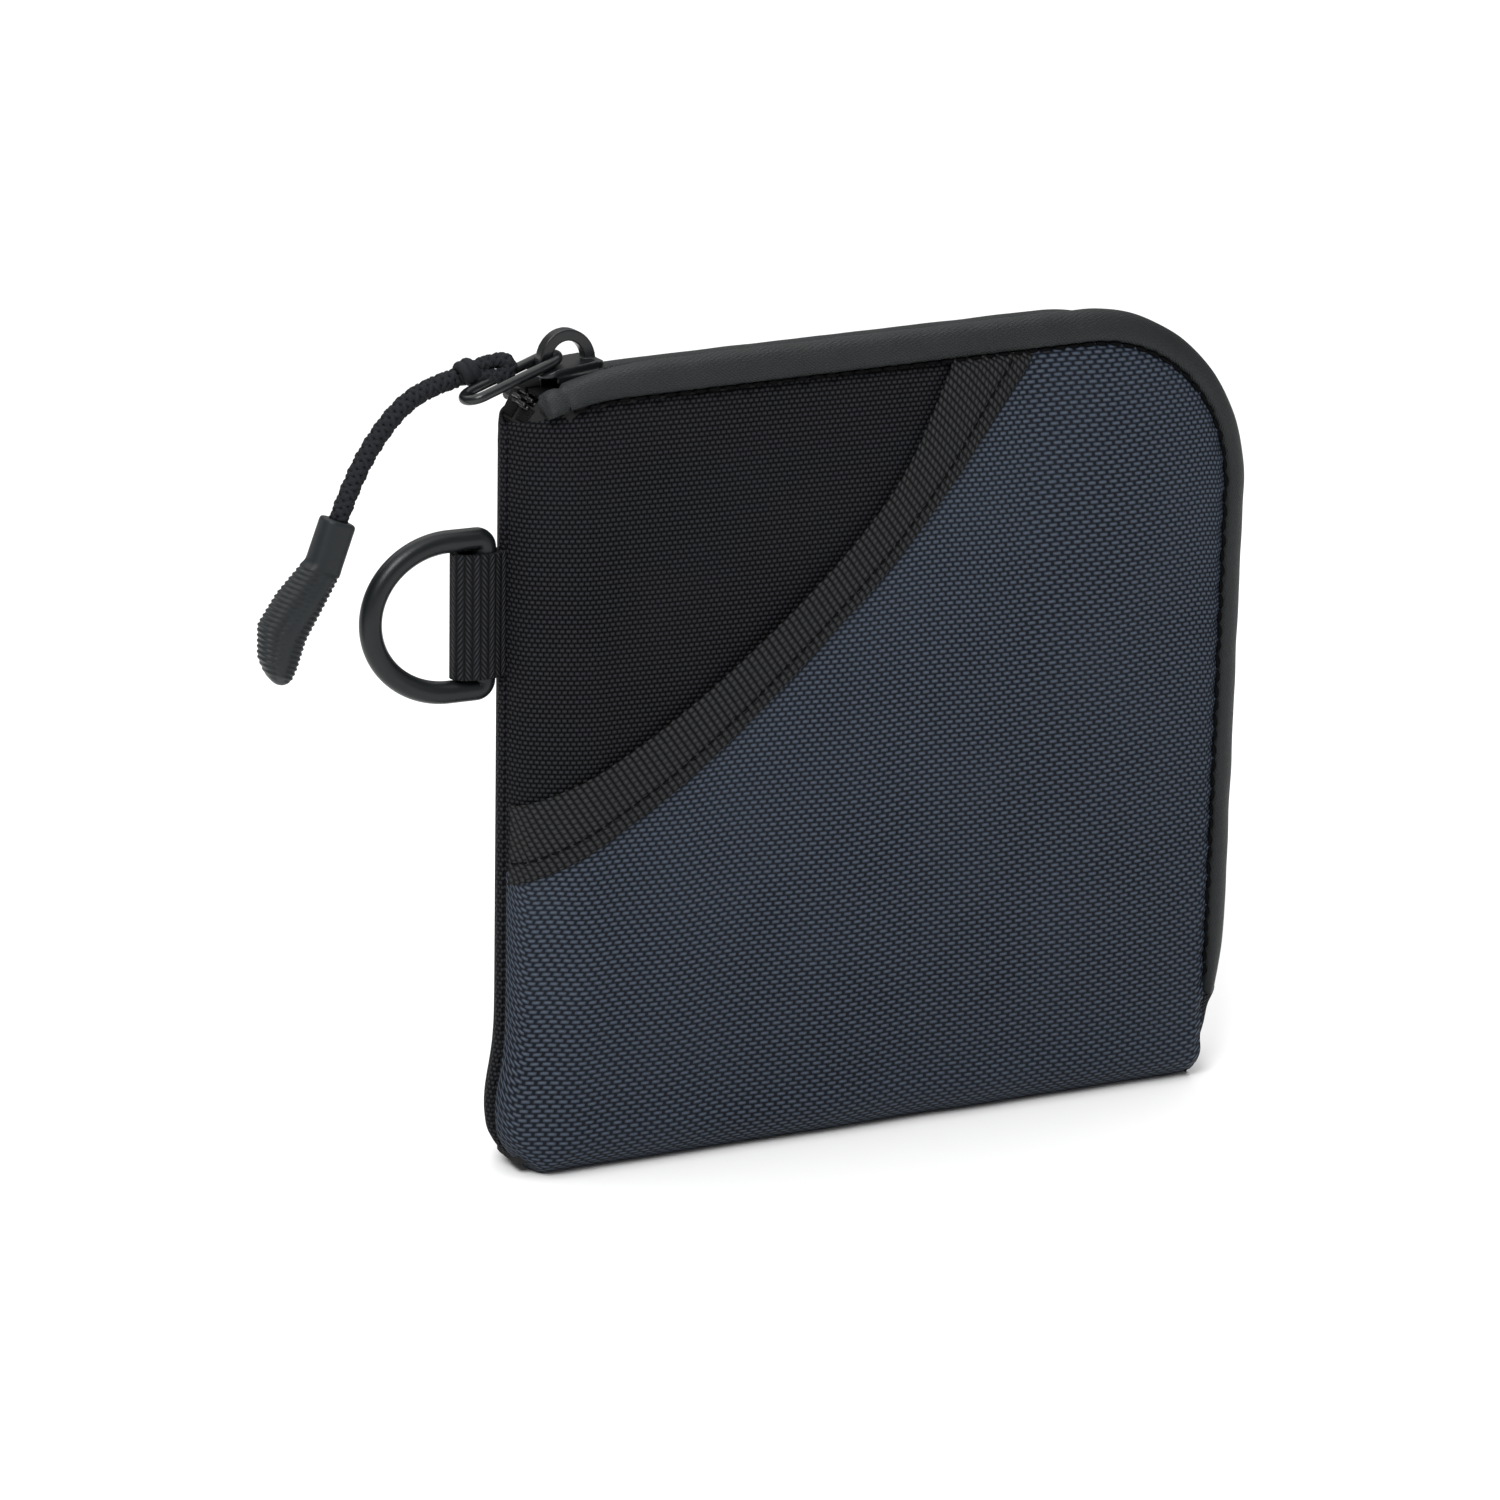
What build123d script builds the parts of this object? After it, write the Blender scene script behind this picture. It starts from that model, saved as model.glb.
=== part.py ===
from build123d import *
import math
import os

os.makedirs("parts", exist_ok=True)

# Frame: origin on the floor under the middle of the pouch, +X to the right, +Z up,
# the pocket side faces -Y. The pouch stands on its bottom fold. Millimetres.

# Body of the pouch
width = 126.0  # left side fold to right seam
seam_height = 129.0  # floor to the top seam where the zip starts to turn
corner_radius = 27.0  # seam line at the top right
top_slope = 1.5  # degrees, the top edge rises to the right
middle_half = 12.0  # half thickness at the fullest place
seam_half = 9.0  # half thickness at the top and right seams
left_half = 3.4  # half thickness at the left side
base_half = 4.5  # half of the flat strip that it stands on
base_bend = 9.0  # height of the rounded bottom fold
shoulder = 15.0  # width over which the left side fills out
shoulder_share = 0.3  # of the shoulder, where its curve passes
shoulder_in = 1.2  # there, inside the seams' half thickness
shoulder_top_in = 1.3  # at its end, inside the fullest half thickness
fold_out = 3.6  # bottom fold: how far out its curve passes, and at what height
fold_out_height = 2.8
fold_full = 5.2  # where the fold ends, beyond the flat strip
fold_squeeze = 0.8  # the layers are pressed thinner round the fold
fold_lift = 0.6
left_drop = 3.5  # fall of the top edge into the left corner
left_drop_run = 4.0

# Layers, from the outside in
pocket_cloth = 0.9
panel_cloth = 0.7
foam = 1.8
lining_cloth = 0.4
side_squeeze = 0.75  # the layers are pressed thinner at the left side

# Slanting pocket. Its mouth runs from the left side to the top seam, and each curve
# is given by shares of the straight line between its ends and the bow there.
binding_proud = 0.6
left_wall = 1.6
left_wall_back = 0.8  # how far short of the left side's front face it starts
mouth_past = 1.0  # the curves run this far past the left side
mouth_upper_left = 61.0  # floor to the upper edge of the binding, at the left
mouth_lower_left = 47.8  # and to its lower edge
mouth_upper_top = 75.8  # left side to the upper edge, at the top seam
mouth_lower_top = 91.5
mouth_over = 3.0  # the curves end this far over the seam line
mouth_upper_bow = [(0.23, 6.0), (0.54, 8.8), (0.78, 7.8)]
mouth_lower_bow = [(0.25, 6.2), (0.56, 7.3), (0.77, 5.4)]

# Zip strips, tape, coil
strip_rise = 4.6  # crest above the seam
strip_crest_in = 3.6  # crest inwards from the seam
strip_gap = 4.7  # inner edge from the middle plane
strip_fold = 3.9  # height of the inner edge
strip_foot = 2.4
swell_out = 0.78  # shares of crest_in and rise that the rounded outer face passes
swell_up = 0.74
zip_left = 4.0  # left end of strips, tape and coil, from the left side
zip_low_end = 15.0  # floor to the lower end of the zip
tape_low = 0.9
tape_thick = 0.5
tape_half = 5.9
coil_clear = 0.45
coil_width = 2.85
coil_thick = 1.6
coil_round = 0.45  # of its thickness
end_flap = 2.5  # fabric tab below the zip
end_flap_low = 5.0
end_flap_step = 2.0
end_flap_toe = 0.6
end_flap_rise = 1.5
end_flap_in = 0.8  # its sides, inside the seams
end_flap_round = 1.6

# Slider
slider_place = 10.5  # slider centre from the left side
slider_tilt = 6.0  # degrees from level
slider_length = 11.0
slider_half = 4.2
slider_top = 4.9  # top of the blade above the seam line
blade_thick = 1.3
blade_fall = 0.9
lower_blade_thick = 0.8
lower_blade_top = 0.35
flange_thick = 0.6
flange_drop = 1.0
flange_in = 0.1
flange_short = 3.6  # shorter than the slider by
flange_forward = 0.4
blade_taper = 86.0  # degrees at the wide end
blade_corner = 2.0
nose_run = 2.4  # bevelled ends of the upper blade
nose_edge = 0.2
tail_run = 1.8
tail_fall = 0.7
lower_blade_in = 0.8
lower_blade_short = 0.6
post_length = 3.0
post_half = 0.22
crown_half_length = 4.7
crown_rise = 5.2
crown_bar = 1.8
crown_half_width = 1.1
crown_sink = 0.9  # its feet, cut level with the blade's middle

# Wire bail
bail_wire = 1.6
bail_reach = 16.4  # between the centres of its two end bends
bail_half = 2.3  # arm centre from the middle
bail_pivot_along = -1.45  # in the crown, from the slider's centre
bail_pivot_up = 1.25
bail_droop = 20.5  # degrees below level, pointing left

# Cord, knot and pull
cord_diameter = 2.7
knot_radius = 2.0
knot_at = (-67.0, 4.3, 130.2)
loop_points = [(-65.2, 4.0, 130.9), (-62.8, 3.4, 131.9), (-60.3, 2.6, 132.6)]
cord_points = [
    (-69.2, 4.2, 129.4),
    (-73.8, 3.8, 128.5),
    (-78.9, 3.2, 125.9),
    (-83.6, 2.6, 120.9),
    (-87.3, 2.0, 115.2),
    (-89.9, 1.5, 109.4),
]
pull_length = 27.0
pull_lean = 20.0  # degrees, its lower end hangs to the left
pull_half_thick = 2.9
pull_collar_half = 2.8
# Stations of the curved body below the collar: share of the length, how far its
# middle swings outwards, and its half width there
pull_stations = [(0.28, 0.2, 3.1), (0.50, 1.9, 3.8), (0.70, 3.1, 4.0), (0.88, 2.2, 3.1)]
pull_tip_out = 0.4

# D-ring and webbing
ring_bar = 3.6
ring_inner_height = 20.6
ring_depth = 22.8
ring_bar_from_side = 3.0  # straight bar's axis from the left side
ring_height = 92.6  # floor to the ring's centre
ring_leg = 6.0  # straight length of the two legs
ring_corner = 1.5
webbing_width = 20.0
webbing_thick = 1.1
webbing_reach = 9.3
webbing_clear = 0.2
webbing_fold = 2.2  # run of the rounded fold
webbing_fold_share = 0.7
webbing_root_gap = 0.6

half_width = width / 2
slope = math.tan(math.radians(top_slope))
corner_start = half_width - corner_radius


def seam_z(x):
    """Height of the straight top seam line at x."""
    return seam_height + (x - corner_start) * slope


zip_start_x = -half_width + zip_left
panel_inside = pocket_cloth + panel_cloth
foam_inside = panel_inside + foam
lining_inside = foam_inside + lining_cloth


def half_body(side, inset, grow):
    """Half of the stuffed body on one side (-1 front, 1 back) of the middle plane.

    Its outer faces are moved in by inset, and its top and right ends out by grow.
    """
    floor = max(inset, 0)
    left = -half_width + floor
    right = half_width + grow
    over = 20  # past every edge that is cut later
    with BuildPart() as body:
        with BuildSketch(Plane.XY):
            with BuildLine():
                near = ThreePointArc(
                    (-half_width, side * (left_half - side_squeeze * inset)),
                    (-half_width + shoulder_share * shoulder, side * (seam_half - shoulder_in - inset)),
                    (-half_width + shoulder, side * (middle_half - shoulder_top_in - inset)),
                )
                far = ThreePointArc(
                    near @ 1,
                    (0, side * (middle_half - inset)),
                    (half_width, side * (seam_half - inset)),
                )
                Polyline(far @ 1, (half_width + over, side * (seam_half - inset)),
                         (half_width + over, 0), (-half_width, 0), near @ 0)
            make_face()
        extrude(amount=seam_height + over)
        with BuildSketch(Plane.YZ.offset(-half_width - 1)):
            with BuildLine():
                fold = ThreePointArc(
                    (side * (base_half - inset), floor),
                    (side * (base_half + fold_out - fold_squeeze * inset),
                     fold_out_height + fold_lift * floor),
                    (side * (base_half + fold_full - inset), base_bend),
                )
                face = ThreePointArc(
                    fold @ 1,
                    (side * (middle_half - inset), 0.5 * seam_height),
                    (side * (seam_half - inset), seam_height),
                )
                Polyline(face @ 1, (side * (seam_half - inset), seam_height + over),
                         (0, seam_height + over), (0, floor), fold @ 0)
            make_face()
        extrude(amount=width + over, mode=Mode.INTERSECT)
        with BuildSketch(Plane.XZ) as outline:
            with BuildLine():
                Polyline(
                    (left, floor),
                    (left, seam_z(-half_width) - left_drop + grow),
                    (-half_width + left_drop_run, seam_z(-half_width + left_drop_run) + grow),
                    (right, seam_z(right) + grow),
                    (right, floor),
                    close=True,
                )
            make_face()
            top_right = outline.vertices().sort_by_distance((right, seam_z(right) + grow))[0]
            if grow == 0:
                fillet(top_right, corner_radius)
        extrude(amount=over, both=True, mode=Mode.INTERSECT)
    return body.part


def layer(side, outer, inner):
    """One cloth or foam layer of a half: open at the top and right seams."""
    return half_body(side, outer, 0) - half_body(side, inner, past_seams)


def mouth_line(left_height, top_place, bow):
    """Points (x, z) of a curve from the left side up to the top seam."""
    top_x = -half_width + top_place
    start = Vector(-half_width - mouth_past, left_height)
    end = Vector(top_x, seam_z(top_x) + mouth_over)
    way = end - start
    across = Vector(way.Y, -way.X).normalized()
    inner = [start + way * share + across * depth for share, depth in bow]
    return [(point.X, point.Y) for point in (start, *inner, end)]


def below(mouth):
    """A block that covers everything under a mouth line, in front of the middle."""
    reach = width
    with BuildPart() as under:
        with BuildSketch(Plane.XZ):
            with BuildLine():
                edge = Spline(*mouth)
                Polyline(edge @ 1, (reach, mouth[-1][1]), (reach, -1), (-reach, -1),
                         (-reach, mouth[0][1]), edge @ 0)
            make_face()
        extrude(amount=3 * middle_half)
    return under.part


def block(x_range, y_range, z_range):
    """A plain block between the given limits."""
    size = [high - low for low, high in (x_range, y_range, z_range)]
    middle = [(high + low) / 2 for low, high in (x_range, y_range, z_range)]
    return Pos(*middle) * Box(*size)


past_seams = 5.0
mouth_upper = mouth_line(mouth_upper_left, mouth_upper_top, mouth_upper_bow)
mouth_lower = mouth_line(mouth_lower_left, mouth_lower_top, mouth_lower_bow)
deep = 3 * middle_half
tall = (-1, 2 * seam_height)
front_space = block((-half_width, half_width), (-deep, 0), tall)
left_strip = block((-half_width, -half_width + left_wall), (-left_half + left_wall_back, 0), tall)
under_back = block((-half_width - 1, half_width + 1), (-0.001, deep), (-1, base_bend))
under_mouth = below(mouth_lower)
under_binding = below(mouth_upper)
front_cloth = layer(-1, 0, pocket_cloth)
back_fold_cloth = layer(1, 0, pocket_cloth) & under_back
binding_cloth = layer(-1, -binding_proud, pocket_cloth)
front_panel_cloth = layer(-1, pocket_cloth, panel_inside)
back_panel_cloth = layer(1, 0, panel_inside)
side_wall_cloth = left_strip & half_body(-1, 0, 0) & layer(-1, 0, left_wall)

# Navy outer cloth of the front pocket, carried under the bottom to the back
with BuildPart() as slant_pocket:
    add(front_cloth)
    add(under_mouth, mode=Mode.INTERSECT)
    add(back_fold_cloth)
    add(left_strip, mode=Mode.SUBTRACT)
slant_pocket.part.label = "slant_pocket"

# Ribbed tape that binds the pocket's mouth
with BuildPart() as pocket_binding:
    add(binding_cloth)
    add(under_binding, mode=Mode.INTERSECT)
    add(under_mouth, mode=Mode.SUBTRACT)
    add(front_space, mode=Mode.INTERSECT)
    add(left_strip, mode=Mode.SUBTRACT)
pocket_binding.part.label = "pocket_binding"

# Front and back cloth of the body
with BuildPart() as front_panel:
    add(front_panel_cloth)
    add(left_strip, mode=Mode.SUBTRACT)
front_panel.part.label = "front_panel"

with BuildPart() as back_panel:
    add(back_panel_cloth)
    add(side_wall_cloth)
    add(back_fold_cloth, mode=Mode.SUBTRACT)
    add(slant_pocket.part, mode=Mode.SUBTRACT)
    add(front_panel.part, mode=Mode.SUBTRACT)
back_panel.part.label = "back_panel"

export_step(slant_pocket.part, "parts/slant_pocket.step")
export_step(pocket_binding.part, "parts/pocket_binding.step")
export_step(front_panel.part, "parts/front_panel.step")
export_step(back_panel.part, "parts/back_panel.step")

# Foam and lining behind the cloth of each half
for side, name in ((-1, "front"), (1, "back")):
    foam_layer = layer(side, panel_inside, foam_inside)
    lining_layer = layer(side, foam_inside, lining_inside)
    with BuildPart() as pad:
        add(foam_layer)
        if side < 0:
            add(left_strip, mode=Mode.SUBTRACT)
    pad.part.label = f"{name}_foam"
    export_step(pad.part, f"parts/{name}_foam.step")
    with BuildPart() as inner_cloth:
        add(lining_layer)
    inner_cloth.part.label = f"{name}_lining"
    export_step(inner_cloth.part, f"parts/{name}_lining.step")

# The zip runs along the top seam, round the corner and down the right side.
zip_start = (zip_start_x, 0, seam_z(zip_start_x))
zip_corner = (half_width, 0, seam_z(half_width))
zip_end = (half_width, 0, zip_low_end)
with BuildLine() as zip_run:
    FilletPolyline(zip_start, zip_corner, zip_end, radius=corner_radius)
zip_path = zip_run.wire()
zip_section = Plane(zip_start, x_dir=(0, 1, 0), z_dir=zip_path % 0)

for side, name in ((-1, "front"), (1, "back")):
    crest = seam_half - strip_crest_in
    with BuildPart() as zip_strip:
        with BuildSketch(zip_section):
            with BuildLine():
                swell = ThreePointArc(
                    (side * seam_half, 0),
                    (side * (crest + swell_out * strip_crest_in), swell_up * strip_rise),
                    (side * crest, strip_rise),
                )
                Polyline(
                    swell @ 1,
                    (side * strip_gap, strip_fold),
                    (side * strip_gap, tape_low + tape_thick),
                    (side * tape_half, tape_low + tape_thick),
                    (side * (seam_half - strip_foot), 0),
                    swell @ 0,
                )
            make_face()
        sweep(path=zip_path)
    zip_strip.part.label = f"{name}_zip_strip"
    export_step(zip_strip.part, f"parts/{name}_zip_strip.step")

    with BuildPart() as tape:
        with BuildSketch(zip_section):
            with Locations((side * (tape_half + coil_clear) / 2, tape_low + tape_thick / 2)):
                Rectangle(tape_half - coil_clear, tape_thick)
        sweep(path=zip_path)
    tape.part.label = f"{name}_zip_tape"
    export_step(tape.part, f"parts/{name}_zip_tape.step")

    with BuildPart() as coil:
        with BuildSketch(zip_section):
            middle = tape_low + tape_thick + coil_thick / 2
            with Locations((side * (coil_clear + coil_width / 2), middle)):
                RectangleRounded(coil_width, coil_thick, coil_round * coil_thick)
        sweep(path=zip_path)
    coil.part.label = f"{name}_zip_coil"
    export_step(coil.part, f"parts/{name}_zip_coil.step")

# Fabric flap that covers the lower end of the zip and closes the corner under it
with BuildPart() as zip_end_flap:
    with BuildSketch(Plane.XZ):
        with BuildLine():
            Polyline(
                (half_width, zip_low_end),
                (half_width + strip_rise, zip_low_end),
                (half_width + strip_rise, zip_low_end - end_flap_step),
                (half_width + end_flap, end_flap_low + end_flap_rise),
                (half_width + end_flap_toe, end_flap_low),
                (half_width, end_flap_low),
                close=True,
            )
        make_face()
    extrude(amount=seam_half - end_flap_in, both=True)
    fillet(zip_end_flap.edges().filter_by(Axis.Z).group_by(Axis.X)[-1], end_flap_round)
zip_end_flap.part.label = "zip_end_flap"
export_step(zip_end_flap.part, "parts/zip_end_flap.step")

# Slider, drawn about the middle of its blade's top face
slider_x = -half_width + slider_place
tilt = math.radians(slider_tilt)
along = Vector(math.cos(tilt), 0, math.sin(tilt))
upright = Vector(-math.sin(tilt), 0, math.cos(tilt))
slider_origin = Vector(slider_x, 0, seam_z(slider_x) + slider_top)
slider_side = Plane(slider_origin, x_dir=along, z_dir=(0, -1, 0))
slider_plan = Plane(slider_origin, x_dir=along, z_dir=upright)
half_length = slider_length / 2
lower_top = lower_blade_top - slider_top

with BuildPart() as slider_body:
    with BuildSketch(slider_plan.offset(-blade_thick)) as blade_plan:
        Trapezoid(2 * slider_half, slider_length, blade_taper, rotation=-90)
        fillet(blade_plan.vertices(), blade_corner)
    extrude(amount=blade_thick)
    with BuildSketch(slider_side):
        with BuildLine():
            Polyline(
                (-half_length - 1, -blade_thick - 1),
                (-half_length - 1, -blade_fall - nose_edge),
                (-half_length + nose_run, 0),
                (half_length - tail_run, 0),
                (half_length + 1, -tail_fall),
                (half_length + 1, -blade_thick - 1),
                close=True,
            )
        make_face()
    extrude(amount=2 * slider_half, both=True, mode=Mode.INTERSECT)
    with BuildSketch(slider_plan.offset(-blade_thick)):
        for side in (-1, 1):
            with Locations((flange_forward, side * (slider_half - flange_in - flange_thick / 2))):
                Rectangle(slider_length - flange_short, flange_thick)
    extrude(amount=-flange_drop)
    with BuildSketch(slider_plan.offset(lower_top)) as lower_plan:
        Trapezoid(2 * slider_half - lower_blade_in, slider_length - lower_blade_short,
                  blade_taper, rotation=-90)
        fillet(lower_plan.vertices(), blade_corner)
    extrude(amount=-lower_blade_thick)
    with BuildSketch(slider_plan.offset(lower_top)):
        with Locations((-half_length + nose_run, 0)):
            Rectangle(post_length, 2 * post_half)
    extrude(amount=-blade_thick - lower_top)
    with BuildSketch(slider_side):
        Ellipse(crown_half_length, crown_rise)
        Ellipse(crown_half_length - crown_bar, crown_rise - crown_bar, mode=Mode.SUBTRACT)
        with Locations((0, -crown_rise - crown_sink)):
            Rectangle(3 * crown_half_length, 2 * crown_rise, mode=Mode.SUBTRACT)
        with Locations((0, -crown_sink / 3)):
            Rectangle(2 * crown_half_length - crown_bar, 2 * crown_sink / 3, mode=Mode.SUBTRACT)
    extrude(amount=crown_half_width, both=True)
slider_body.part.label = "slider_body"
export_step(slider_body.part, "parts/slider_body.step")

# Wire bail: a closed ring hooked through the crown
droop = math.radians(bail_droop)
bail_axis = slider_origin + along * bail_pivot_along + upright * bail_pivot_up
bail_way = Vector(-math.cos(droop), 0, -math.sin(droop))
bail_plane = Plane(bail_axis, x_dir=bail_way, z_dir=Vector(-math.sin(droop), 0, math.cos(droop)))
with BuildPart() as wire_bail:
    with BuildLine(bail_plane) as ring_line:
        front_arm = Line((bail_half, -bail_half), (bail_reach - bail_half, -bail_half))
        far_bend = ThreePointArc(front_arm @ 1, (bail_reach, 0), (bail_reach - bail_half, bail_half))
        back_arm = Line(far_bend @ 1, (bail_half, bail_half))
        ThreePointArc(back_arm @ 1, (0, 0), front_arm @ 0)
    with BuildSketch(Plane(front_arm @ 0.5, z_dir=front_arm % 0.5)):
        Circle(bail_wire / 2)
    sweep(path=ring_line.wire())
wire_bail.part.label = "wire_bail"
export_step(wire_bail.part, "parts/wire_bail.step")
print("bail axis", bail_axis, "far end", bail_axis + bail_way * bail_reach)


def cord_tube(points, name):
    """A cord solid along straight runs and the largest tangent arcs that they allow."""
    runs = [Vector(*b) - Vector(*a) for a, b in zip(points, points[1:])]
    radii = []
    for before, after in zip(runs, runs[1:]):
        turn = math.radians(before.get_angle(after))
        radii.append(0.45 * min(before.length, after.length) / math.tan(turn / 2))
    with BuildPart() as tube:
        with BuildLine() as route:
            FilletPolyline(*points, radius=radii)
        with BuildSketch(Plane(points[0], z_dir=runs[0])):
            Circle(cord_diameter / 2)
        sweep(path=route.wire())
    length = route.wire().length
    expected = math.pi * cord_diameter**2 / 4 * length
    print(name, "length", round(length, 1), "radii", [round(r, 1) for r in radii],
          "volume", round(tube.part.volume, 1), "of", round(expected, 1))
    return tube.part


cord_loop = cord_tube(loop_points, "cord_loop")
pull_cord = cord_tube(cord_points, "pull_cord")
with BuildPart() as cord_knot:
    with Locations(knot_at):
        Sphere(knot_radius)
for piece, name in ((cord_loop, "cord_loop"), (pull_cord, "pull_cord"), (cord_knot.part, "cord_knot")):
    piece.label = name
    export_step(piece, f"parts/{name}.step")

# Rubber pull end, drawn hanging from its top centre and leaning out
lean = math.radians(pull_lean)
pull_down = Vector(-math.sin(lean), 0, -math.cos(lean))
pull_plane = Plane(Vector(*cord_points[-1]), x_dir=pull_down, z_dir=(0, -1, 0))
with BuildPart() as pull_end:
    with BuildSketch(pull_plane):
        with BuildLine():
            inward = [(share * pull_length, half - out) for share, out, half in pull_stations]
            outward = [(share * pull_length, -half - out) for share, out, half in pull_stations]
            tip = (pull_length, -pull_tip_out)
            near_side = Spline((0, pull_collar_half), *inward, tip)
            far_side = Spline((0, -pull_collar_half), *outward, tip)
            Line(near_side @ 0, far_side @ 0)
        make_face()
    extrude(amount=pull_half_thick, both=True)
pull_end.part.label = "pull_end"
export_step(pull_end.part, "parts/pull_end.step")

# D-ring and the webbing loop that holds its straight bar
bar_x = -half_width - ring_bar_from_side
ring_half = (ring_inner_height + ring_bar) / 2
ring_arc_reach = ring_depth - ring_bar - ring_leg
with BuildPart() as d_ring:
    with BuildLine(Plane.XZ) as ring_path:
        top_leg = Line((bar_x - ring_corner, ring_height + ring_half),
                       (bar_x - ring_leg, ring_height + ring_half))
        bow = EllipticalCenterArc((bar_x - ring_leg, ring_height), ring_arc_reach, ring_half,
                                  start_angle=90, arc_size=180)
        low_leg = Line(bow @ 1, (bar_x - ring_corner, ring_height - ring_half))
        low_corner = RadiusArc(low_leg @ 1, (bar_x, ring_height - ring_half + ring_corner), -ring_corner)
        bar = Line(low_corner @ 1, (bar_x, ring_height + ring_half - ring_corner))
        RadiusArc(bar @ 1, top_leg @ 0, -ring_corner)
    with BuildSketch(Plane(bar @ 0.5, z_dir=bar % 0.5)):
        Circle(ring_bar / 2)
    sweep(path=ring_path.wire())
d_ring.part.label = "d_ring"
export_step(d_ring.part, "parts/d_ring.step")

with BuildPart() as ring_tab:
    with BuildSketch(Plane.XY.offset(ring_height - webbing_width / 2)):
        loop_half = ring_bar / 2 + webbing_clear
        fold_x = -half_width - webbing_reach
        with BuildLine():
            outer = Spline(
                (-half_width, webbing_thick),
                (bar_x, loop_half + webbing_thick),
                (fold_x + webbing_fold, webbing_fold_share * loop_half + webbing_thick),
                (fold_x, 0),
            )
            mirror(outer, about=Plane.XZ)
            Line((-half_width, webbing_thick), (-half_width, -webbing_thick))
        make_face()
        with BuildLine():
            inner = Spline(
                (-half_width - webbing_root_gap, 0),
                (bar_x, loop_half),
                (fold_x + webbing_fold + 0.2, webbing_fold_share * loop_half),
                (fold_x + webbing_thick, 0),
            )
            mirror(inner, about=Plane.XZ)
        make_face(mode=Mode.SUBTRACT)
    extrude(amount=webbing_width)
ring_tab.part.label = "ring_tab"
export_step(ring_tab.part, "parts/ring_tab.step")
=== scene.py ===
import math

import bmesh
import bpy
import numpy as np
from mathutils import Matrix, Vector, noise


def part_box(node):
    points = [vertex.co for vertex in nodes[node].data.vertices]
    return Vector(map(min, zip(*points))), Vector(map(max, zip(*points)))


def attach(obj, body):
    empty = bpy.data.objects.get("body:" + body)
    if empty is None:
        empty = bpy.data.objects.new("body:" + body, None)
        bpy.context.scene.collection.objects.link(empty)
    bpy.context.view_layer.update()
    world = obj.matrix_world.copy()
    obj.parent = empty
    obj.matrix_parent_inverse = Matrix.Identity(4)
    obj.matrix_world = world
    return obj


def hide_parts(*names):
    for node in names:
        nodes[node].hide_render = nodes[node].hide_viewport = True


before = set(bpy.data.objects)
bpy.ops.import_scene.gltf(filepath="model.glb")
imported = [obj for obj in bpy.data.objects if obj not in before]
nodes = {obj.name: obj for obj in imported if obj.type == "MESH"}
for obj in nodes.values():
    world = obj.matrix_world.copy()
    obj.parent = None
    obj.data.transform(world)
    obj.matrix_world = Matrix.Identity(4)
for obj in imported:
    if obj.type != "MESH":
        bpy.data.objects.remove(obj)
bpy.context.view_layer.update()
MM = 0.001

# --------------------------------------
# Studio: a long lens looks a little down at a table. The floor is pale, one large soft light
# stands at the upper left with a weak fill at the right, and a wide sky lights from above.
camera_yaw = math.radians(27.0)
camera_pitch = math.radians(16.4)
camera_roll = math.radians(1.14)
camera_distance = 0.905
camera_lens = 135.2
room_light = 0.22
floor_half = 3.0
aim = Vector((-0.0191, 0.0, 0.065))

back = Vector((-math.sin(camera_yaw) * math.cos(camera_pitch),
               -math.cos(camera_yaw) * math.cos(camera_pitch), math.sin(camera_pitch)))
level = Vector((math.cos(camera_yaw), -math.sin(camera_yaw), 0))
upward = back.cross(level)
right = level * math.cos(camera_roll) + upward * math.sin(camera_roll)
over = back.cross(right)
camera_data = bpy.data.cameras.new("camera")
camera_data.lens = camera_lens
camera = bpy.data.objects.new("camera", camera_data)
camera.matrix_world = Matrix.Translation(aim + back * camera_distance) @ Matrix(
    (right, over, back)).transposed().to_4x4()
bpy.context.scene.collection.objects.link(camera)
bpy.context.scene.camera = camera
bpy.context.scene.view_settings.view_transform = "Standard"


def soft_light(name, place, size, watts):
    """A square area light aimed at the pouch."""
    data = bpy.data.lights.new(name, "AREA")
    data.size = size
    data.energy = watts
    lamp = bpy.data.objects.new(name, data)
    lamp.location = place
    lamp.rotation_euler = (aim - Vector(place)).to_track_quat("-Z", "Y").to_euler()
    bpy.context.scene.collection.objects.link(lamp)


soft_light("key_light", (-0.55, -0.60, 0.85), 0.45, 9.5)
soft_light("fill_light", (0.75, -0.65, 0.35), 0.7, 0.8)
sky = bpy.data.lights.new("sky_light", "SUN")
sky.energy = 2.9
sky.angle = 1.6
sky_lamp = bpy.data.objects.new("sky_light", sky)
sky_lamp.rotation_euler = (math.radians(-12), 0, 0)
bpy.context.scene.collection.objects.link(sky_lamp)
world = bpy.data.worlds.new("room")
world.use_nodes = True
world.node_tree.nodes["Background"].inputs["Color"].default_value = (1.0, 1.0, 1.0, 1)
world.node_tree.nodes["Background"].inputs["Strength"].default_value = room_light
bpy.context.scene.world = world

floor_mesh = bpy.data.meshes.new("floor")
floor_mesh.from_pydata([(-floor_half, -floor_half, 0), (floor_half, -floor_half, 0),
                        (floor_half, floor_half, 0), (-floor_half, floor_half, 0)], [], [(0, 1, 2, 3)])
floor = bpy.data.objects.new("floor", floor_mesh)
bpy.context.scene.collection.objects.link(floor)
floor_paint = bpy.data.materials.new("floor_paint")
floor_paint.use_nodes = True
floor_shader = floor_paint.node_tree.nodes["Principled BSDF"]
floor_shader.inputs["Base Color"].default_value = (0.9, 0.9, 0.9, 1)
floor_shader.inputs["Roughness"].default_value = 0.9
floor_mesh.materials.append(floor_paint)

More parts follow.
